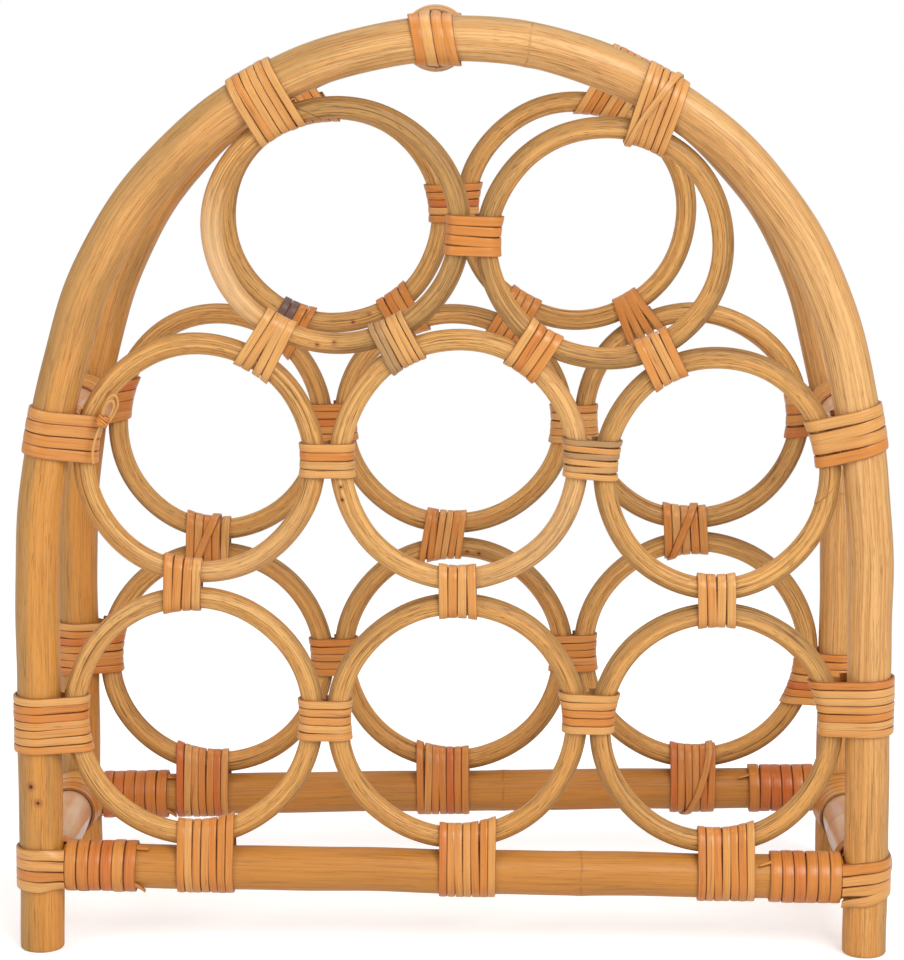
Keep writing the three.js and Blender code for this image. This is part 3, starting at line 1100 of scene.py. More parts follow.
@dataclass(frozen=True)
class Joint:
    """A place where two poles lie side by side: along runs with them, and across from first to second."""

    middle: Vector
    along: Vector
    across: Vector
    first: Member
    second: Member
    slope: float = 0.0

    def outline(self, s: float, turn: float, height: float) -> Vector:
        """A point on the tight outline round both poles.

        Args:
            s: The distance along the joint.
            turn: The share of a turn, from the middle of the back, round the first pole, then the second.
            height: The height above the poles' skin.

        Returns:
            The point.
        """
        level = self._outline(s, turn, height)
        lean = self.slope * (level - self.middle).dot(self.across)
        return self._outline(s + lean, turn, height)

    def _outline(self, s: float, turn: float, height: float) -> Vector:
        """A point of the outline with no lean.

        Args:
            s: The distance along the joint.
            turn: The share of a turn.
            height: The height above the poles' skin.

        Returns:
            The point.
        """
        start = self.middle + self.along * s
        near, near_radius = self.first.cut(start, self.across)
        far, far_radius = self.second.cut(start, self.across)
        near_radius, far_radius = near_radius + height, far_radius + height
        taper = math.asin(max(-1.0, min(1.0, (near_radius - far_radius) / (far - near))))
        tangent = math.pi / 2 - taper
        flat = (far - near) * math.cos(taper)
        arcs = near_radius * (math.tau - 2 * tangent), far_radius * 2 * tangent
        lengths = (flat / 2, arcs[0], flat, arcs[1], flat / 2)
        rest = turn * sum(lengths)
        piece = 0
        while piece < 4 and rest > lengths[piece]:
            rest -= lengths[piece]
            piece += 1
        share = rest / lengths[piece]
        if piece == 1:
            return self._round(start, near, near_radius, lerp(tangent, math.tau - tangent, share))
        if piece == 3:
            return self._round(start, far, far_radius, lerp(-tangent, tangent, share))
        sign = -1 if piece == 2 else 1
        near_point = self._round(start, near, near_radius, sign * tangent)
        far_point = self._round(start, far, far_radius, sign * tangent)
        ends = {0: (0.5, 0.0), 2: (0.0, 1.0), 4: (1.0, 0.5)}[piece]
        return near_point.lerp(far_point, lerp(*ends, share))

    def _round(self, start: Vector, out: float, radius: float, angle: float) -> Vector:
        """A point of the circle round one pole."""
        return start + self.across * (out + radius * math.cos(angle)) + BACK * (radius * math.sin(angle))

    def girth(self) -> float:
        """The length of one turn."""
        return path_length([self.outline(0, step / GIRTH_STEPS, 0) for step in range(GIRTH_STEPS + 1)])


@dataclass(frozen=True)
class Core:
    """A round pole that a strip is wound round: first points where a turn starts, second a quarter on."""

    middle: Vector
    run: Vector
    first: Vector
    second: Vector
    radius: float

    @property
    def girth(self) -> float:
        """The length of one turn."""
        return math.tau * self.radius

    def around(self, s: float, turn: float, height: float) -> Vector:
        """A point round the pole.

        Args:
            s: The distance along the pole.
            turn: The share of a turn.
            height: The height above the pole's skin.

        Returns:
            The point.
        """
        angle, reach = math.tau * turn, self.radius + height
        aside = self.first * (reach * math.cos(angle)) + self.second * (reach * math.sin(angle))
        return self.middle + self.run * s + aside


@dataclass(frozen=True)
class Binding:
    """How a strip of cane is wound: its turns, its width and how loosely the hand laid it."""

    turns: int
    width: float = 0.0033
    pitch: float = 0.0035
    clearance: float = 0.0003
    sway: float = 0.0001
    lean: float = 0.00025
    lift: float = 0.00018
    warmth: tuple[float, ...] = (0.35, 0.3, 0.42)
    spread: float = 0.13
    fan: float = 0.0
    crossing: bool = False
    crossing_pitch: float = 0.3
    steps: int = 30
    back_share: float = 0.2

    def centres(self) -> list[float]:
        """Places the turns along the joint.

        Returns:
            The middles of the turns, with the first and the last given twice.
        """
        laid = self.turns - self.crossing
        places = [(turn - (laid - 1) / 2) * self.pitch for turn in range(self.turns)]
        if self.crossing:
            places[-1] = places[-2] - self.pitch * self.crossing_pitch
        return [places[0], *places, places[-1]]


def held(values: list[float], progress: float, back_share: float) -> float:
    """A value for each turn, held over the front and eased to the next at the back.

    Args:
        values: The values of the turns, with one more before the first and one after the last.
        progress: How many turns have been wound.
        back_share: The share of a turn that each easing takes on either side of the back's middle.

    Returns:
        The value.
    """
    turn = min(int(progress), len(values) - 3)
    share = progress - turn
    here = values[turn + 1]
    if share < back_share:
        return lerp(values[turn], here, smooth((share + back_share) / (2 * back_share)))
    if share > 1 - back_share:
        return lerp(here, values[turn + 2], smooth((share - 1 + back_share) / (2 * back_share)))
    return here


@dataclass(frozen=True)
class Crossing:
    """How a last turn crosses the others: how much higher it lies, and over which shares of the turn."""

    height: float = 0.0013
    start: float = 0.22
    span: float = 0.56
    rise: float = 0.2
    fall: float = 0.16

    def moved(self, share: float) -> float:
        """How far it has moved over, from 0 to 1."""
        return smooth((share - self.start) / self.span)

    def lifted(self, share: float) -> float:
        """How much higher it lies."""
        return self.height * smooth(share / self.rise) * smooth((1 - share) / self.fall)


CROSSING = Crossing()


def wind(bench: Workbench, seed: str, place: Place, girth: float, binding: Binding) -> bpy.types.Object:
    """Winds a straight strip of cane round a joint or a pole.

    Args:
        bench: Where straight strips come from.
        seed: A name that fixes how it was laid.
        place: Gives a point from the distance along, the share of a turn and the height.
        girth: The length of one turn.
        binding: How it is wound.

    Returns:
        The wound strip.
    """
    piece = bench.strip(binding.width, (binding.turns - 1, binding.steps - 1))
    chance = random.Random(seed)
    turns, back = binding.turns, binding.back_share
    centres = binding.centres()
    sways = [chance.uniform(-1, 1) * binding.sway for _turn in centres]
    leans = [chance.uniform(-1, 1) * binding.lean for _turn in centres]
    lifts = [chance.uniform(0, 1) * binding.lift for _turn in centres]
    warmth = binding.warmth
    tints = [chance.gauss(warmth[turn % len(warmth)], binding.spread) for turn in range(-1, turns + 1)]
    straight = rows(piece)
    places = np.empty_like(straight)
    tint = np.empty(len(straight))
    for index, (x, y, z) in enumerate(straight):
        progress = z * turns
        turn = min(int(progress), turns - 1)
        share = progress - turn
        centre = held(centres, progress, back)
        s = centre + held(sways, progress, back) + x
        s += (held(leans, progress, back) + binding.fan * centre) * math.sin(math.tau * share)
        height = binding.clearance + y + held(lifts, progress, back)
        if binding.crossing and turn == turns - 1:
            s -= (centre - centres[2]) * CROSSING.moved(share)
            height += CROSSING.lifted(share)
        places[index] = place(s, share, height)
        tint[index] = held(tints, progress, back)
    dress_strip(piece, places, straight, tint, binding.width, girth * turns, chance.uniform(0, FARTHEST))
    return piece


def dress_strip(
    piece: bpy.types.Object,
    places: np.ndarray,
    straight: np.ndarray,
    tint: np.ndarray,
    width: float,
    length: float,
    shift: float,
) -> None:
    """Moves a strip's vertices and marks them for its finish.

    Args:
        piece: The strip.
        places: Where its vertices go.
        straight: Where they were, with z from 0 to 1.
        tint: How warm the cane is at each, from 0 to 1.
        width: The strip's width.
        length: The strip's real length.
        shift: How far its pattern is moved along.
    """
    piece.data.vertices.foreach_set("co", places.ravel())
    mark(piece, "edge", np.abs(straight[:, 0]) * 2 / width)
    straight[:, 2] = straight[:, 2] * length + shift
    mark(piece, "straight", straight)
    mark(piece, "tint", tint)
    piece.data.update()


@dataclass(frozen=True)
class Tail:
    """The cut end of a strip, that shows beside a winding: its turns, its places along and its width."""

    start: float
    end: float
    near: float
    far: float
    girth: float = 0.063
    width: float = 0.0026
    lift: float = 0.0002
    curl: float = 0.0
    narrowing: float = 0.5
    warmth: float = 0.6
    cuts: int = 15

    def make(self, bench: Workbench, seed: str, place: Place) -> bpy.types.Object:
        """Makes the tail.

        Args:
            bench: Where straight strips come from.
            seed: A name that fixes its pattern.
            place: Gives a point from the distance along, the share of a turn and the height.

        Returns:
            The tail.
        """
        piece = bench.strip(self.width, (self.cuts,))
        straight = rows(piece)
        places = np.array([self._point(place, *row) for row in straight])
        length = (Vector(places[-1]) - Vector(places[0])).length + self.width
        tint = np.full(len(straight), self.warmth)
        shift = random.Random(seed).uniform(0, FARTHEST)
        dress_strip(piece, places, straight, tint, self.width, length, shift)
        return piece

    def _point(self, place: Place, x: float, y: float, z: float) -> Vector:
        """A point of the tail, which narrows and curls up towards its end.

        Args:
            place: Gives a point from the distance along, the share of a turn and the height.
            x: The distance across the straight strip.
            y: The height in it.
            z: The share of its length.

        Returns:
            The point.
        """
        run, round_run = self.far - self.near, (self.end - self.start) * self.girth
        aside = x * (1 - self.narrowing * z * z) / math.hypot(run, round_run)
        s = lerp(self.near, self.far, z) - aside * round_run
        turn = lerp(self.start, self.end, z) + aside * run / self.girth
        return place(s, turn, y + self.lift + self.curl * z * z)


@dataclass(frozen=True)
class Strap:
    """Strips laid side by side round the outside of one pole, with their ends on the pole that it holds.

    outward points away from the held pole, beside to its sides, and along with the first pole.
    """

    middle: Vector
    outward: Vector
    beside: Vector
    along: Vector
    pole_radius: float
    held_radius: float
    tail: float
    slopes: tuple[float, ...]
    warmth: tuple[float, ...] = (0.4, 0.3)
    spread: float = 0.1
    bow_radius: float = math.inf
    skew: float = 0.0
    width: float = 0.0049
    pitch: float = 0.0051
    clearance: float = 0.0003
    gather: float = 0.14
    sway: float = 0.0001
    lift: float = 0.00015
    passes: tuple[int, ...] = (5, 7)

    def point(self, offset: float, share: float, height: float, slope: float) -> Vector:
        """A point of one strip.

        Args:
            offset: The distance along the first pole.
            share: The share of the strip's length, from one end to the other.
            height: The height above the poles.
            slope: How much the strip rises along the first pole for each metre outwards.

        Returns:
            The point.
        """
        radius = self.pole_radius + self.clearance + height
        half_turn = math.pi * radius
        distance = share * (2 * self.tail + half_turn)
        if distance < self.tail or distance > self.tail + half_turn:
            sign = 1 if distance < self.tail else -1
            beyond = self.tail - distance if sign > 0 else distance - self.tail - half_turn
            near = smooth(beyond / self.tail)
            gathered = offset * (1 - self.gather * near)
            skin = self.held_radius + self.clearance + height
            inner = math.sqrt(max(skin * skin - gathered * gathered, 0.0))
            out, aside = -beyond, sign * lerp(radius, inner, near)
        else:
            angle = math.pi / 2 - (distance - self.tail) / radius
            gathered, out, aside = offset, radius * math.cos(angle), radius * math.sin(angle)
        run = gathered + slope * out - self.skew * aside
        point = self.middle + self.outward * out + self.beside * aside + self.along * run
        return point - self.beside * (run * run / (2 * self.bow_radius))

    def make(self, bench: Workbench, seed: str) -> list[bpy.types.Object]:
        """Makes the strips.

        Args:
            bench: Where straight strips come from.
            seed: A name that fixes how they were laid.

        Returns:
            The strips.
        """
        chance = random.Random(seed)
        length = 2 * self.tail + math.pi * self.pole_radius
        strips = []
        for index, slope in enumerate(self.slopes):
            piece = bench.strip(self.width, self.passes)
            centre = (index - (len(self.slopes) - 1) / 2) * self.pitch + chance.uniform(-1, 1) * self.sway
            lift = chance.uniform(0, self.lift)
            straight = rows(piece)
            places = np.array([self.point(centre + x, z, y + lift, slope) for x, y, z in straight])
            tint = np.full(len(straight), chance.gauss(self.warmth[index % len(self.warmth)], self.spread))
            dress_strip(piece, places, straight, tint, self.width, length, chance.uniform(0, FARTHEST))
            strips.append(piece)
        return strips


def joined(pieces: list[bpy.types.Object]) -> bpy.types.Object:
    """Joins pieces into the first of them.

    Args:
        pieces: The pieces.

    Returns:
        The first piece, with all the others in it.
    """
    only(pieces[0])
    for piece in pieces:
        piece.select_set(True)
    bpy.ops.object.join()
    return pieces[0]


# The rack


@dataclass(frozen=True)
class Ring:
    """One ring of a frame: its outer half width and half height, and its middle."""

    name: str
    x: float
    z: float
    wide: float
    tall: float

    @classmethod
    def from_frame(cls, layer: Layer, name: str) -> "Ring":
        """Reads a ring from its node.

        Args:
            layer: The frame that it is in.
            name: Its name in the frame.

        Returns:
            The ring.
        """
        low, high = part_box(f"{layer.name.lower()}_ring_{name}")
        middle, half = (low + high) / 2, (high - low) / 2
        return cls(name, middle.x, middle.z, half.x, half.z)

    def reach(self, dx: float, dz: float) -> float:
        """The distance from the middle to the outside, in a direction."""
        return math.hypot(dx, dz) / math.hypot(dx / self.wide, dz / self.tall)

    def oval(self, thickness: float, side: int) -> Oval:
        """The ring as a joint sees it, on its far side or its near side."""
        return Oval(self.x, self.z, self.wide, self.tall, thickness, side)


# The rings of each tier, from left to right
TIERS = {
    "bottom": ("left", "middle", "right"),
    "middle": ("left", "middle", "right"),
    "top": ("left", "right"),
}
# Middle rings, and the top rings that are lashed to them
SLANTED = (("left", "left"), ("middle", "left"), ("middle", "right"), ("right", "right"))
# Places of the growth nodes that show, from the start of each pole
GROWTH = {"front_arch": (0.485,), "rear_arch": (0.19, 0.56), "front_rail": (0.236,), "rear_rail": (0.2,)}
# How much the strips of each corner rise outwards, from the lowest strip to the highest
CORNER_SLOPES = {Side.LEFT: (0.05, 0.02, 0.0, -0.03), Side.RIGHT: (0.3, 0.13, 0.1, 0.08)}
# How warm those strips are, from the lowest up
CORNER_WARMTH = {Layer.FRONT: (0.1, 0.45, 0.2, 0.3), Layer.REAR: (0.5, 0.7)}
# How far the strips round the crown lean to the left, for each metre up
CROWN_SKEW = {Layer.FRONT: 0.17, Layer.REAR: 0.04}
# Angles, in degrees, of the splices that show
SPLICES = {"front_ring_top_left": 104.0, "front_ring_middle_right": -9.0}
# The cut ends of strips that show beside the turns at each corner
CORNER_TAILS = {
    Side.LEFT: (
        Tail(0.69, 0.672, 0.0152, 0.0218, width=0.003),
        Tail(0.41, 0.37, 0.0152, 0.0206, width=0.0022, curl=0.0018),
    ),
    Side.RIGHT: (Tail(0.35, 0.39, 0.0152, 0.0212, width=0.0015, curl=0.001),),
}
# How much darker each ring is, and where it is palest
RING_TONES = {
    Layer.FRONT: {
        "top_left": Tone(0.26, 0.93, 199.0),
        "top_right": Tone(0.12, 0.1, 260.0),
        "middle_left": Tone(-0.2, 0.26, 290.0),
        "middle_middle": Tone(-0.34, 0.13, 330.0),
        "middle_right": Tone(0.05, 0.2, 270.0),
        "bottom_left": Tone(-0.12, 0.28, 110.0),
        "bottom_middle": Tone(-0.02, 0.25, 230.0),
        "bottom_right": Tone(0.08),
    },
    Layer.REAR: {
        "top_left": Tone(-0.1),
        "top_right": Tone(-0.02, 0.2, 270.0),
        "middle_left": Tone(-0.06, 0.3, 110.0),
        "middle_right": Tone(-0.04, 0.25, 60.0),
    },
}
ARCH_TONES = {Layer.FRONT: Tone(0.03, 0.45, 20.0), Layer.REAR: Tone(0.02)}
# The tones of rings that RING_TONES doesn't name
PLAIN_RING_TONES = (-0.08, 0.04)
PLAIN_RING_SWING = 0.1
# How much warmer the cane of the rear frame is
REAR_WARMING = 0.2

# How each kind of lashing is wound
BINDINGS = {
    "bottom_arch": Binding(
        turns=7, width=0.0036, pitch=0.0037, lean=0.0004, warmth=(0.15, 0.3, 0.75, 0.3, 0.2, 0.3, 0.7)
    ),
    "middle_arch": Binding(turns=4, width=0.0053, pitch=0.0054, lean=0.0004, warmth=(0.6, 0.3, 0.45, 0.2)),
    "top_arch": Binding(turns=6, width=0.0036, pitch=0.0037, warmth=(0.15, 0.3, 0.1)),
    "rail": Binding(turns=7, width=0.0036, pitch=0.0037, lean=0.0004, warmth=(0.6, 0.3, 0.5, 0.4, 0.65)),
    "stacked": Binding(turns=4, width=0.0041, pitch=0.0043, lean=0.0005, warmth=(0.2, 0.35, 0.3)),
    "beside": Binding(turns=5, width=0.0036, pitch=0.0037, warmth=(0.2, 0.15, 0.5, 0.35)),
    "slanted": Binding(turns=4, width=0.004, pitch=0.0041, warmth=(0.35, 0.2, 0.45)),
    "corner": Binding(
        turns=6, width=0.0052, pitch=0.0054, lift=0.0004, warmth=(0.62, 0.6, 0.85, 0.8), steps=36
    ),
    "stretcher": Binding(turns=6, width=0.0048, pitch=0.005, warmth=(0.4, 0.3), steps=36),
}
# How far each lashing lies from the point where its poles are nearest, counterclockwise from the front
SLIDES = {
    Layer.FRONT: {
        "bottom_left_to_arch": 0.003,
        "bottom_right_to_arch": 0.0105,
        "middle_right_to_arch": 0.009,
        "top_right_to_arch": 0.017,
        "bottom_left_to_rail": 0.005,
        "bottom_middle_to_rail": 0.005,
        "bottom_right_to_rail": 0.005,
        "bottom_left_to_middle_left": 0.006,
        "bottom_middle_to_bottom_right": 0.006,
        "middle_middle_to_middle_right": 0.004,
    },
    Layer.REAR: {
        "bottom_left_to_arch": -0.006,
        "bottom_right_to_arch": -0.013,
        "middle_right_to_arch": -0.007,
        "top_left_to_arch": -0.018,
        "top_right_to_arch": 0.015,
        "bottom_left_to_rail": -0.007,
        "bottom_middle_to_rail": -0.005,
        "bottom_right_to_rail": -0.001,
        "bottom_left_to_middle_left": 0.005,
        "bottom_middle_to_middle_middle": 0.005,
        "bottom_right_to_middle_right": 0.004,
        "middle_left_to_top_left": -0.0065,
        "middle_middle_to_top_left": -0.005,
        "middle_middle_to_middle_right": -0.0024,
        "top_left_to_top_right": 0.0055,
    },
}
# How much the turns of a lashing rise, counterclockwise, from the first pole to the second
RISES = {
    Layer.FRONT: {
        "bottom_right_to_arch": 0.06,
        "middle_left_to_arch": 0.04,
        "middle_right_to_arch": 0.13,
        "top_right_to_arch": 0.3,
    },
    Layer.REAR: {"middle_left_to_arch": 0.35, "bottom_middle_to_middle_middle": -0.14},
}
# Lashings that differ from their kind
SPECIAL = {
    "front_lashing_top_right_to_arch": {"turns": 7, "width": 0.0033, "pitch": 0.0034, "crossing": True},
    "front_lashing_middle_left_to_arch": {"warmth": (0.5, 0.35, 0.4, 0.6)},
    "front_lashing_top_left_to_top_right": {
        "turns": 4, "width": 0.0044, "pitch": 0.0045, "warmth": (0.6, 0.65), "spread": 0.05, "lean": 0.0004,
    },
    "front_lashing_middle_middle_to_top_left": {
        "turns": 6, "width": 0.0027, "pitch": 0.0028, "warmth": (0.15, 0.1, 0.05, -0.3, -0.35, -0.3),
    },
    "front_lashing_middle_left_to_middle_middle": {"turns": 4, "width": 0.0038, "pitch": 0.0039},
    "front_lashing_middle_left_to_top_left": {"fan": 0.12, "lean": 0.0005, "warmth": (0.15, -0.1, 0.4)},
    "front_lashing_middle_middle_to_middle_right": {
        "turns": 6, "width": 0.0028, "pitch": 0.003, "lean": 0.0005,
        "warmth": (-0.1, -0.35, 0.1, -0.5, 0.2, -0.8),
    },
    "rear_lashing_middle_left_to_top_left": {"warmth": (0.6, 0.5, -1.8, -1.6)},
    "rear_lashing_middle_middle_to_middle_right": {"warmth": (0.0, 0.2, 0.1)},
    "rear_lashing_middle_right_to_arch": {"warmth": (0.7, 0.5, 0.6, 0.3)},
    "rear_lashing_bottom_left_to_middle_left": {"turns": 6, "crossing": True},
    "rear_lashing_bottom_middle_to_middle_middle": {"turns": 6, "width": 0.0033, "pitch": 0.0034},
    "rear_lashing_bottom_right_to_middle_right": {"turns": 6, "crossing": True},
    "rear_lashing_bottom_right_to_rail": {"turns": 7, "crossing": True},
    "rear_lashing_middle_right_to_top_right": {"fan": 0.25},
}


@dataclass
class ArchedFrame:
    """One arched frame: its arch, rail, rings and lashings."""

    layer: Layer
    bench: Workbench
    pole: float = ARCH_STYLE.radius * 2
    ring_pole: float = RING_STYLE.radius * 2
    crown_shift: float = 0.0015
    crown_inset: float = 0.0108
    side_radius: float = 0.441
    wrap_start: float = 0.0112
    strap_tail: float = 0.0115
    rings: dict[str, Ring] = field(default_factory=dict)

    def __post_init__(self) -> None:
        """Reads the frame's own sizes from its nodes."""
        self.title = self.layer.name.lower()
        low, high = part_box(f"{self.title}_arch")
        self.y = (low.y + high.y) / 2
        self.leg_x = (high.x - low.x) / 2 - self.pole / 2
        self.crown_radius = self.leg_x - self.crown_inset
        self.crown_z = high.z - self.pole / 2 - self.crown_radius
        rail_low, rail_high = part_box(f"{self.title}_rail")
        self.rail_end = (rail_high.x - rail_low.x) / 2
        self.rail_z = (rail_low.z + rail_high.z) / 2
        self.rail_rise = (rail_high.z - rail_low.z - self.pole) * self.layer.value / 2
        for tier, places in TIERS.items():
            for place in places:
                self.rings[f"{tier}_{place}"] = Ring.from_frame(self.layer, f"{tier}_{place}")

    def point(self, x: float, z: float) -> Vector:
        """A point in the plane of the frame."""
        return Vector((x, self.y, z))

    def rail_point(self, x: float) -> Vector:
        """The rail's middle at x."""
        return self.point(x, self.rail_z + self.rail_rise * x / self.rail_end)

    def bend(self, side: Side) -> tuple[float, float]:
        """The middle of the bend between a leg and the crown.

        Args:
            side: The side of the arch.

        Returns:
            Its x and z.
        """
        x = side.value * (self.leg_x - self.side_radius)
        drop = math.sqrt((self.side_radius - self.crown_radius) ** 2 - (x - self.crown_shift) ** 2)
        return x, self.crown_z - drop

    def join_angle(self, side: Side) -> float:
        """The angle at which a side bend runs into the crown."""
        x, z = self.bend(side)
        return math.atan2(self.crown_z - z, self.crown_shift - x)

    def crown_point(self, x: float) -> Vector:
        """The crown's middle line at x."""
        return self.point(x, self.crown_z + math.sqrt(self.crown_radius**2 - (x - self.crown_shift) ** 2))

    def arch_route(self) -> Chain:
        """The arch's line.

        Returns:
            The line, from the right foot over the crown to the left foot.
        """
        right_x, right_z = self.bend(Side.RIGHT)
        left_x, left_z = self.bend(Side.LEFT)
        right_join, left_join = self.join_angle(Side.RIGHT), self.join_angle(Side.LEFT)
        side, crown = self.side_radius, self.crown_radius
        return Chain((
            Line(self.point(self.leg_x, 0), self.point(self.leg_x, right_z), RIGHT, BACK),
            Bow(self.point(right_x, right_z), side, side, 0, right_join),
            Bow(self.point(self.crown_shift, self.crown_z), crown, crown, right_join, left_join),
            Bow(self.point(left_x, left_z), side, side, left_join, math.pi),
            Line(self.point(-self.leg_x, left_z), self.point(-self.leg_x, 0), -RIGHT, BACK),
        ))

    def make_arch(self) -> None:
        """Makes the arch with both legs."""
        name = f"{self.title}_arch"
        tone = ARCH_TONES[self.layer]
        piece = bend_pole(self.bench, name, self.arch_route(), ARCH_STYLE, GROWTH[name], tone)
        self.bench.finish(piece, f"bent_{name}", Stock.ARCH, name)

    def make_rail(self) -> None:
        """Makes the rail between the legs."""
        name = f"{self.title}_rail"
        route = Line(self.rail_point(-self.rail_end), self.rail_point(self.rail_end), BACK, UP)
        piece = bend_pole(self.bench, name, route, RAIL_STYLE, GROWTH[name])
        self.bench.finish(piece, f"straight_{name}", Stock.RAIL, name)

    def make_ring(self, ring: Ring) -> None:
        """Bends a ring, whose ends meet where SPLICES says or under a lashing.

        Args:
            ring: The ring's place and size.
        """
        name = f"{self.title}_ring_{ring.name}"
        tube = RING_STYLE.radius
        start = math.radians(SPLICES.get(name, math.degrees(self._hidden_angle(ring))))
        middle = self.point(ring.x, ring.z)
        route = Bow(middle, ring.wide - tube, ring.tall - tube, start, start + math.tau)
        plain = Tone(random.Random(name).uniform(*PLAIN_RING_TONES), PLAIN_RING_SWING)
        tone = RING_TONES[self.layer].get(ring.name, plain)
        piece = bend_pole(self.bench, name, route, RING_STYLE, (), tone)
        self.bench.finish(piece, f"bent_{name}", Stock.RING, name)

    def _hidden_angle(self, ring: Ring) -> float:
        """Finds the lashing that hides a ring's splice: the one nearest the arch or the rail.

        Args:
            ring: The ring.

        Returns:
            The lashing's angle on the ring.
        """
        if ring.name == "bottom_middle":
            joint = self.rail_joint(ring)
        elif ring.name == "middle_middle":
            joint = self.ring_joint(self.rings["bottom_middle"], ring)
        else:
            joint = self.arch_joint(ring, Side.LEFT if ring.name.endswith("left") else Side.RIGHT)
        place = joint.middle - self.point(ring.x, ring.z)
        return math.atan2(place.z / ring.tall, place.x / ring.wide)

    def ring_joint(self, first: Ring, second: Ring) -> Joint:
        """The joint of two rings.

        Args:
            first: The lower ring, or the left one.
            second: The other ring.

        Returns:
            The joint.
        """
        across = Vector((second.x - first.x, 0, second.z - first.z)).normalized()
        sides = first.oval(self.ring_pole, 1), second.oval(self.ring_pole, -1)
        return self._joint(first, second.name, across, *sides)

    def rail_joint(self, ring: Ring) -> Joint:
        """The joint of a bottom ring and the rail.

        Args:
            ring: The ring.

        Returns:
            The joint.
        """
        direction = (self.rail_point(self.rail_end) - self.rail_point(-self.rail_end)).normalized()
        beam = Beam(self.rail_point(0), direction, self.pole)
        return self._joint(ring, "rail", -UP, ring.oval(self.ring_pole, 1), beam)

    def arch_joint(self, ring: Ring, side: Side) -> Joint:
        """The joint of a ring and the arch, where the arch is nearest: a leg, a side bend or the crown.

        Args:
            ring: The ring.
            side: The side of the arch.

        Returns:
            The joint.
        """
        oval = ring.oval(self.ring_pole, 1)
        bend_x, bend_z = self.bend(side)
        if ring.z < bend_z:
            leg = Beam(self.point(side.value * self.leg_x, 0), UP, self.pole)
            return self._joint(ring, "arch", RIGHT * side.value, oval, leg)
        bend_rise = math.atan2(ring.z - bend_z, side.value * (ring.x - bend_x))
        join_rise = math.atan2(self.crown_z - bend_z, side.value * (self.crown_shift - bend_x))
        x, z, radius = bend_x, bend_z, self.side_radius
        if bend_rise >= join_rise:
            x, z, radius = self.crown_shift, self.crown_z, self.crown_radius
        across = Vector((ring.x - x, 0, ring.z - z)).normalized()
        outer = radius + self.pole / 2
        return self._joint(ring, "arch", across, oval, Oval(x, z, outer, outer, self.pole, 1))

    def _joint(self, ring: Ring, other: str, across: Vector, first: Member, second: Member) -> Joint:
        """A joint of a ring with another pole, at the outside of the ring.

        Args:
            ring: The ring.
            other: The other pole's name in SLIDES and RISES.
            across: The direction from the ring to the other pole.
            first: The ring as the joint sees it.
            second: The other pole as the joint sees it.

        Returns:
            The joint.
        """
        along = Vector((-across.z, 0, across.x))
        slide = SLIDES[self.layer].get(f"{ring.name}_to_{other}", 0.0)
        slope = RISES[self.layer].get(f"{ring.name}_to_{other}", 0.0)
        middle = self.point(ring.x, ring.z) + across * ring.reach(across.x, across.z) + along * slide
        return Joint(middle, along, across, first, second, slope)

    def lash(self, name: str, joint: Joint, binding: Binding) -> None:
        """Winds a lashing round a joint.

        Args:
            name: What it holds together.
            joint: The joint.
            binding: How such a lashing is wound.
        """
        node = f"{self.title}_lashing_{name}"
        binding = replace(self._toned(binding), **SPECIAL.get(node, {}))
        piece = wind(self.bench, node, joint.outline, joint.girth(), binding)
        self.bench.finish(piece, f"cane_{node}", Stock.CANE, node)

    def lash_rings(self, first: Ring, second: Ring, kind: str) -> None:
        """Winds a lashing of a kind round two rings."""
        self.lash(f"{first.name}_to_{second.name}", self.ring_joint(first, second), BINDINGS[kind])

    def _toned(self, binding: Binding) -> Binding:
        """Colours a binding for this frame: the rear frame's cane is redder.

        Args:
            binding: The binding.

        Returns:
            The binding in this frame's colours.
        """
        if self.layer is Layer.FRONT:
            return binding
        return replace(binding, warmth=tuple(value + REAR_WARMING for value in binding.warmth))

    def make_corner(self, side: Side) -> None:
        """Makes the lashing of the rail and a leg: strips round the leg, and turns over their ends.

        Args:
            side: The side of the frame.
        """
        node = f"{self.title}_lashing_corner_{side.name.lower()}"
        binding = self._toned(BINDINGS["corner"])
        end = self.rail_point(side.value * self.rail_end)
        run = (self.rail_point(-side.value * self.rail_end) - end).normalized()
        radius = RAIL_STYLE.radius
        start = end + run * (self.wrap_start - radius + binding.turns * binding.pitch / 2)
        rail = Core(start, run, BACK, -run.cross(BACK).normalized(), radius)
        strap = Strap(
            middle=Vector((side.value * self.leg_x, end.y, end.z)),
            outward=RIGHT * side.value,
            beside=BACK,
            along=UP,
            pole_radius=ARCH_STYLE.radius,
            held_radius=radius,
            tail=self.strap_tail,
            slopes=CORNER_SLOPES[side],
            warmth=CORNER_WARMTH[self.layer],
        )
        turned = wind(self.bench, node, rail.around, rail.girth, binding)
        tails = [tail.make(self.bench, node, rail.around) for tail in CORNER_TAILS[side]]
        piece = joined([turned, *tails, *strap.make(self.bench, node + " strap")])
        self.bench.finish(piece, f"cane_{node}", Stock.CANE, node)

    def make_crown(self, x: float) -> None:
        """Makes the strips round the crown, whose ends lie on the top stretcher.

        Args:
            x: The stretcher's place.
        """
        node = f"{self.title}_lashing_crown"
        strap = Strap(
            middle=self.crown_point(x),
            outward=BACK * self.layer.value,
            beside=UP,
            along=RIGHT,
            pole_radius=ARCH_STYLE.radius,
            held_radius=STRETCHER_STYLE.radius,
            tail=self.strap_tail,
            slopes=(0.06, 0.0, -0.03, -0.08),
            warmth=(0.66, -0.02, 0.3, 0.5),
            bow_radius=self.crown_radius,
            skew=CROWN_SKEW[self.layer],
        )
        self.bench.finish(joined(strap.make(self.bench, node)), f"cane_{node}", Stock.CANE, node)

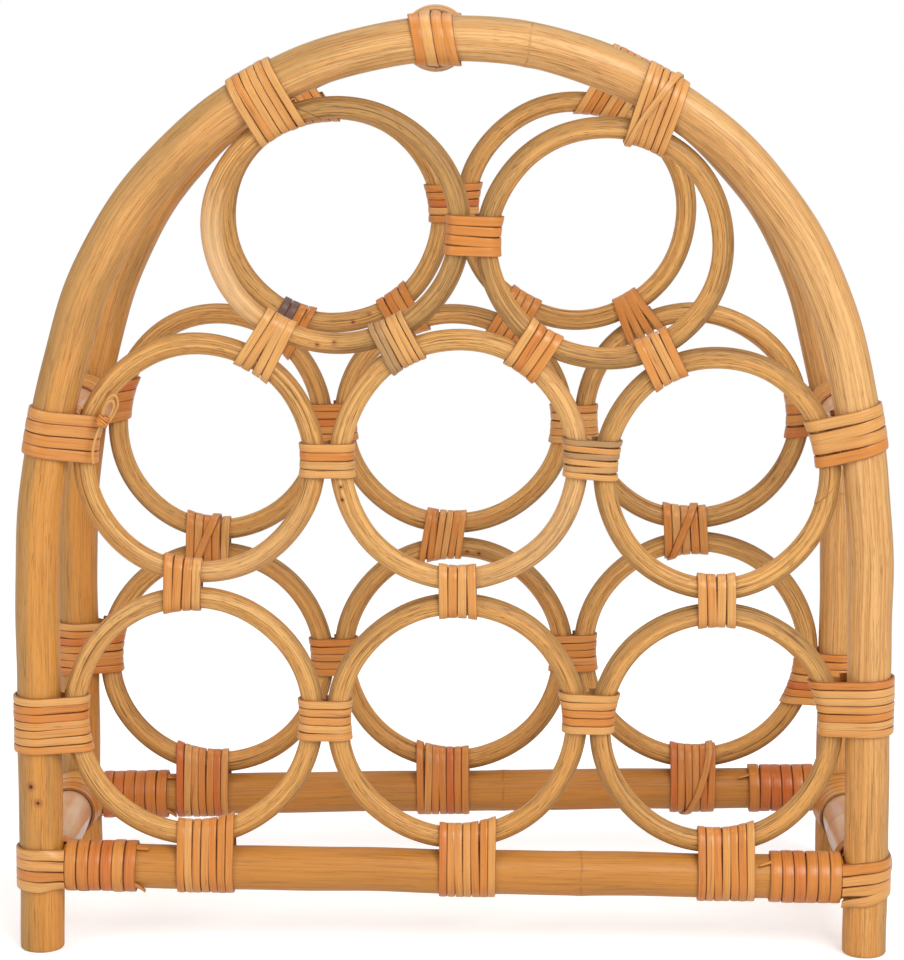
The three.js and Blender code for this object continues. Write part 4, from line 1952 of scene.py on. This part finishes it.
    def make_lashings(self) -> None:
        """Winds the lashings of rings, arch and rail."""
        rings = self.rings
        for tier in TIERS:
            for side in Side:
                ring = rings[f"{tier}_{side.name.lower()}"]
                self.lash(f"{ring.name}_to_arch", self.arch_joint(ring, side), BINDINGS[f"{tier}_arch"])
        for place in TIERS["bottom"]:
            low, high = rings[f"bottom_{place}"], rings[f"middle_{place}"]
            self.lash(f"{low.name}_to_rail", self.rail_joint(low), BINDINGS["rail"])
            self.lash_rings(low, high, "stacked")
        for tier, places in TIERS.items():
            for left, right in zip(places, places[1:]):
                first, second = rings[f"{tier}_{left}"], rings[f"{tier}_{right}"]
                self.lash_rings(first, second, "beside")
        for low, high in SLANTED:
            first, second = rings[f"middle_{low}"], rings[f"top_{high}"]
            self.lash_rings(first, second, "slanted")

    def make(self) -> None:
        """Makes every piece of the frame but the strips round its crown."""
        self.make_arch()
        self.make_rail()
        for ring in self.rings.values():
            self.make_ring(ring)
        self.make_lashings()
        for side in Side:
            self.make_corner(side)


@dataclass
class Stretcher:
    """A pole from the front frame to the rear one, with turns of cane round both ends.

    The turns lie higher from swell_start on and less so from swell_end on, counted from 0 at the inmost turn
    to 2 at the outmost one. fall says how much lower the pole's rear end is than its front end.
    """

    name: str
    bench: Workbench
    fall: float = 0.0
    scar: float = 0.05
    front_turns: int = 6
    front_swell: float = 0.0013
    rear_swell: float = 0.0013
    front_warmth: tuple[float, ...] = (0.4, 0.3)
    swell_start: float = 0.4
    swell_end: float = 1.45
    swell_end_reach: float = 0.5
    swell_loss: float = 0.75

    def make(self) -> None:
        """Makes the pole and the turns at its ends."""
        node = f"stretcher_{self.name}"
        low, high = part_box(node)
        x, z = (low.x + high.x) / 2, (low.z + high.z) / 2
        start = Vector((x, low.y, z + self.fall / 2))
        end = Vector((x, high.y, z - self.fall / 2))
        run = (end - start).normalized()
        below, radius = -RIGHT.cross(run), STRETCHER_STYLE.radius
        piece = bend_pole(self.bench, node, Line(start, end, -below, RIGHT), STRETCHER_STYLE, (self.scar,))
        self.bench.finish(piece, f"skin_{node}", Stock.STRETCHER, node)
        rear = BINDINGS["stretcher"]
        front = replace(rear, turns=self.front_turns, warmth=self.front_warmth)
        self._wind_end(f"cane_{node}_front", Core(start, run, below, -RIGHT, radius), front, self.front_swell)
        self._wind_end(f"cane_{node}_rear", Core(end, -run, below, -RIGHT, radius), rear, self.rear_swell)

    def _wind_end(self, name: str, core: Core, binding: Binding, thickening: float) -> None:
        """Winds the turns at one end, thicker where they lie on the ends of the strips.

        Args:
            name: The piece's name.
            core: The pole, with its middle at the end and its run into the pole.
            binding: How the turns are wound.
            thickening: How much higher they lie at the thickest.
        """
        half = binding.turns * binding.pitch / 2
        core = replace(core, middle=core.middle + core.run * half)

        def around(s: float, turn: float, height: float) -> Vector:
            """A point of the turns.

            Args:
                s: The distance along the pole.
                turn: The share of a turn.
                height: The height above the pole's skin, where the turns aren't thickened.

            Returns:
                The point.
            """
            outward = (half - s) / half
            gain = smooth(outward - self.swell_start)
            loss = self.swell_loss * smooth((outward - self.swell_end) / self.swell_end_reach)
            return core.around(s, turn, height + thickening * gain * (1 - loss))

        self.bench.finish(wind(self.bench, name, around, core.girth, binding), name, Stock.CANE)


@dataclass(frozen=True)
class Curl:
    """A smooth route through given points."""

    points: tuple[Vector, ...]
    fineness: int = 500

    @property
    def length(self) -> float:
        """The length of the straight lines from point to point."""
        return path_length(self.points)

    def _place(self, distance: float) -> Vector:
        """Finds a point of the curve through all points.

        Args:
            distance: The distance from the start.

        Returns:
            The point.
        """
        share = min(max(distance / self.length, 0), 1) * (len(self.points) - 1)
        index = min(int(share), len(self.points) - 2)
        rest = share - index
        last = len(self.points) - 1
        before, here, there, beyond = (self.points[min(max(index + step, 0), last)] for step in (-1, 0, 1, 2))
        return (
            here * 2
            + (there - before) * rest
            + (before * 2 - here * 5 + there * 4 - beyond) * rest**2
            + (here * 3 - before - there * 3 + beyond) * rest**3
        ) / 2

    def at(self, distance: float) -> Station:
        """Finds a station.

        Args:
            distance: The distance from the start.

        Returns:
            The station there.
        """
        step = self.length / self.fineness
        ahead = (self._place(distance + step) - self._place(distance - step)).normalized()
        first = ahead.cross(BACK).normalized()
        return Station(self._place(distance), first, ahead.cross(first))


# Points of the tied strands, in millimetres, in the order in which each strand runs
STRANDS = {
    "loop": (
        (-156.4, -73.8, 243.8), (-155.8, -74.8, 249.2), (-153.9, -75.5, 254.0),
        (-151.5, -75.8, 257.6), (-149.4, -75.5, 257.5), (-148.7, -75.0, 254.0),
        (-150.2, -74.5, 250.0), (-152.4, -74.0, 246.4), (-154.8, -73.8, 244.0),
    ),
    "inner": (
        (-155.8, -74.2, 244.0), (-154.9, -75.0, 250.0), (-153.0, -76.2, 254.5), (-150.8, -76.6, 255.6),
        (-150.3, -76.0, 252.8), (-152.0, -74.8, 249.0), (-154.6, -74.2, 244.6),
    ),
    "tail": (
        (-156.2, -74.0, 244.6), (-158.2, -74.6, 240.2), (-159.8, -74.8, 235.0),
        (-160.3, -74.8, 230.0), (-160.0, -74.5, 226.8),
    ),
}


@dataclass(frozen=True)
class TiedStrands:
    """Thin strands that are tied in a small knot beside the left middle ring's lashing."""

    bench: Workbench
    knot: Point = (-0.1556, -0.0742, 0.2462)
    knot_axis: Point = (0.42, 0.1, 0.9)
    knot_radius: float = 0.0016
    binding: Binding = Binding(
        turns=4, width=0.0012, pitch=0.00125, clearance=0.0, warmth=(0.9, 0.5), steps=16
    )

    def make(self) -> None:
        """Makes the loop, the tail and the knot as one piece."""
        pieces = []
        for name, points in STRANDS.items():
            route = Curl(tuple(Vector(point) / 1000 for point in points))
            pieces.append(bend_pole(self.bench, name, route, STRAND_STYLE))
        axis = Vector(self.knot_axis).normalized()
        side = axis.cross(BACK).normalized()
        knot = Core(Vector(self.knot), axis, axis.cross(side), side, self.knot_radius)
        turned = wind(self.bench, "knot", knot.around, knot.girth, self.binding)
        self.bench.finish(joined([turned, *pieces]), "tied_strands", Stock.CANE)


# The studio


@dataclass(frozen=True)
class Studio:
    """The photograph's camera, a pale floor and soft light."""

    camera_place: Point = (0.0273, -1.4399, 0.4747)
    aim: Point = (0.0, 0.0, 0.2)
    pitch: float = 7.99
    yaw: float = -1.15
    focal_pixels: float = 3117.5
    shift_pixels: float = -140.0
    sensor: float = 36.0
    floor_size: float = 8.0
    floor_white: float = 0.86
    floor_glow: float = 0.42
    shadow_fades: tuple[float, float] = (0.35, 0.9)
    world_light: float = 0.57

    def set_camera(self) -> None:
        """Adds the camera."""
        data = bpy.data.cameras.new("camera")
        data.sensor_width = self.sensor
        data.lens = self.focal_pixels / PHOTO_HEIGHT * self.sensor
        data.shift_y = self.shift_pixels / PHOTO_HEIGHT
        camera = self._placed("camera", data, self.camera_place)
        camera.rotation_euler = (math.radians(90 - self.pitch), 0, math.radians(-self.yaw))
        bpy.context.scene.camera = camera

    def set_lamp(self, name: str, place: Point, size: float, power: float) -> None:
        """Adds a soft square lamp that faces the rack.

        Args:
            name: Its name.
            place: Where it stands.
            size: Its width.
            power: Its power in watts.
        """
        data = bpy.data.lights.new(name, "AREA")
        data.size = size
        data.energy = power
        lamp = self._placed(name, data, place)
        lamp.rotation_euler = (Vector(self.aim) - lamp.location).to_track_quat("-Z", "Y").to_euler()

    def _placed(self, name: str, data: bpy.types.ID, place: Point) -> bpy.types.Object:
        """Adds an object to the scene.

        Args:
            name: Its name.
            data: The camera or the light that it holds.
            place: Where it stands.

        Returns:
            The object.
        """
        made = bpy.data.objects.new(name, data)
        made.location = place
        bpy.context.scene.collection.objects.link(made)
        return made

    def set_world(self) -> None:
        """Lights the scene evenly, before a white background."""
        recipe = Recipe(bpy.data.worlds.new("studio"))
        seen = recipe.node("ShaderNodeLightPath", {}, {}, "Is Camera Ray")
        light = recipe.node("ShaderNodeBackground", {}, {"Color": WHITE, "Strength": self.world_light})
        backdrop = recipe.node("ShaderNodeBackground", {}, {"Color": WHITE})
        mixed = recipe.node("ShaderNodeMixShader", {}, {0: seen, 1: light, 2: backdrop})
        bpy.context.scene.world = recipe.ended("ShaderNodeOutputWorld", mixed)

    def set_floor(self) -> None:
        """Lays a white floor that keeps a faint shadow."""
        bpy.ops.mesh.primitive_plane_add(size=self.floor_size)
        floor = bpy.context.active_object
        floor.name = "floor"
        recipe = Recipe(bpy.data.materials.new("white_floor"))
        far = recipe.fade(recipe.near((0.0, 0.0, 0.0)), *self.shadow_fades)
        matt = recipe.node("ShaderNodeBsdfDiffuse", {}, {"Color": (self.floor_white,) * 3})
        glow = recipe.node("ShaderNodeEmission", {}, {"Color": WHITE, "Strength": self.floor_glow})
        lit = recipe.node("ShaderNodeAddShader", {}, {0: matt, 1: glow})
        white = recipe.node("ShaderNodeEmission", {}, {"Color": WHITE, "Strength": 1.0})
        seen = recipe.node("ShaderNodeMixShader", {}, {0: far, 1: lit, 2: white})
        camera_ray = recipe.node("ShaderNodeLightPath", {}, {}, "Is Camera Ray")
        mixed = recipe.node("ShaderNodeMixShader", {}, {0: camera_ray, 1: matt, 2: seen})
        floor.data.materials.append(recipe.ended("ShaderNodeOutputMaterial", mixed))

    def build(self) -> None:
        """Sets the studio up."""
        bpy.context.scene.view_settings.view_transform = "Standard"
        self.set_world()
        self.set_floor()
        self.set_lamp("key", place=(0.9, -1.5, 1.5), size=1.2, power=29)
        self.set_lamp("fill", place=(-1.5, -1.1, 0.9), size=1.2, power=8)
        self.set_lamp("top", place=(0.0, 0.3, 1.8), size=1.0, power=6)


def main() -> None:
    """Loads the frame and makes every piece."""
    logging.basicConfig(level=logging.INFO, format="%(name)s %(message)s")
    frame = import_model()
    studio = Studio()
    studio.set_camera()
    materials = {stock: finish.material() for stock, finish in FINISHES.items()}
    bench = Workbench(materials, frame["nodes"])
    low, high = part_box("stretcher_top")
    top_x = (low.x + high.x) / 2
    crowns = []
    for layer in Layer:
        arched = ArchedFrame(layer, bench)
        arched.make()
        arched.make_crown(top_x)
        crowns.append(arched.crown_point(top_x).z)
    stretchers = (
        Stretcher("bottom_left", bench, scar=0.016, front_turns=2),
        Stretcher("bottom_right", bench, front_turns=2),
        Stretcher("middle_left", bench),
        Stretcher("middle_right", bench),
        # Paler cane on the top stretcher's front turns is painted light: it brightens turns that lie in shade
        # under the crown
        Stretcher("top", bench, fall=crowns[0] - crowns[1], front_swell=0.0024, front_warmth=(-0.1, 0.05)),
    )
    for stretcher in stretchers:
        stretcher.make()
    TiedStrands(bench).make()
    bench.clear()
    studio.build()


if __name__ == "__main__":
    main()
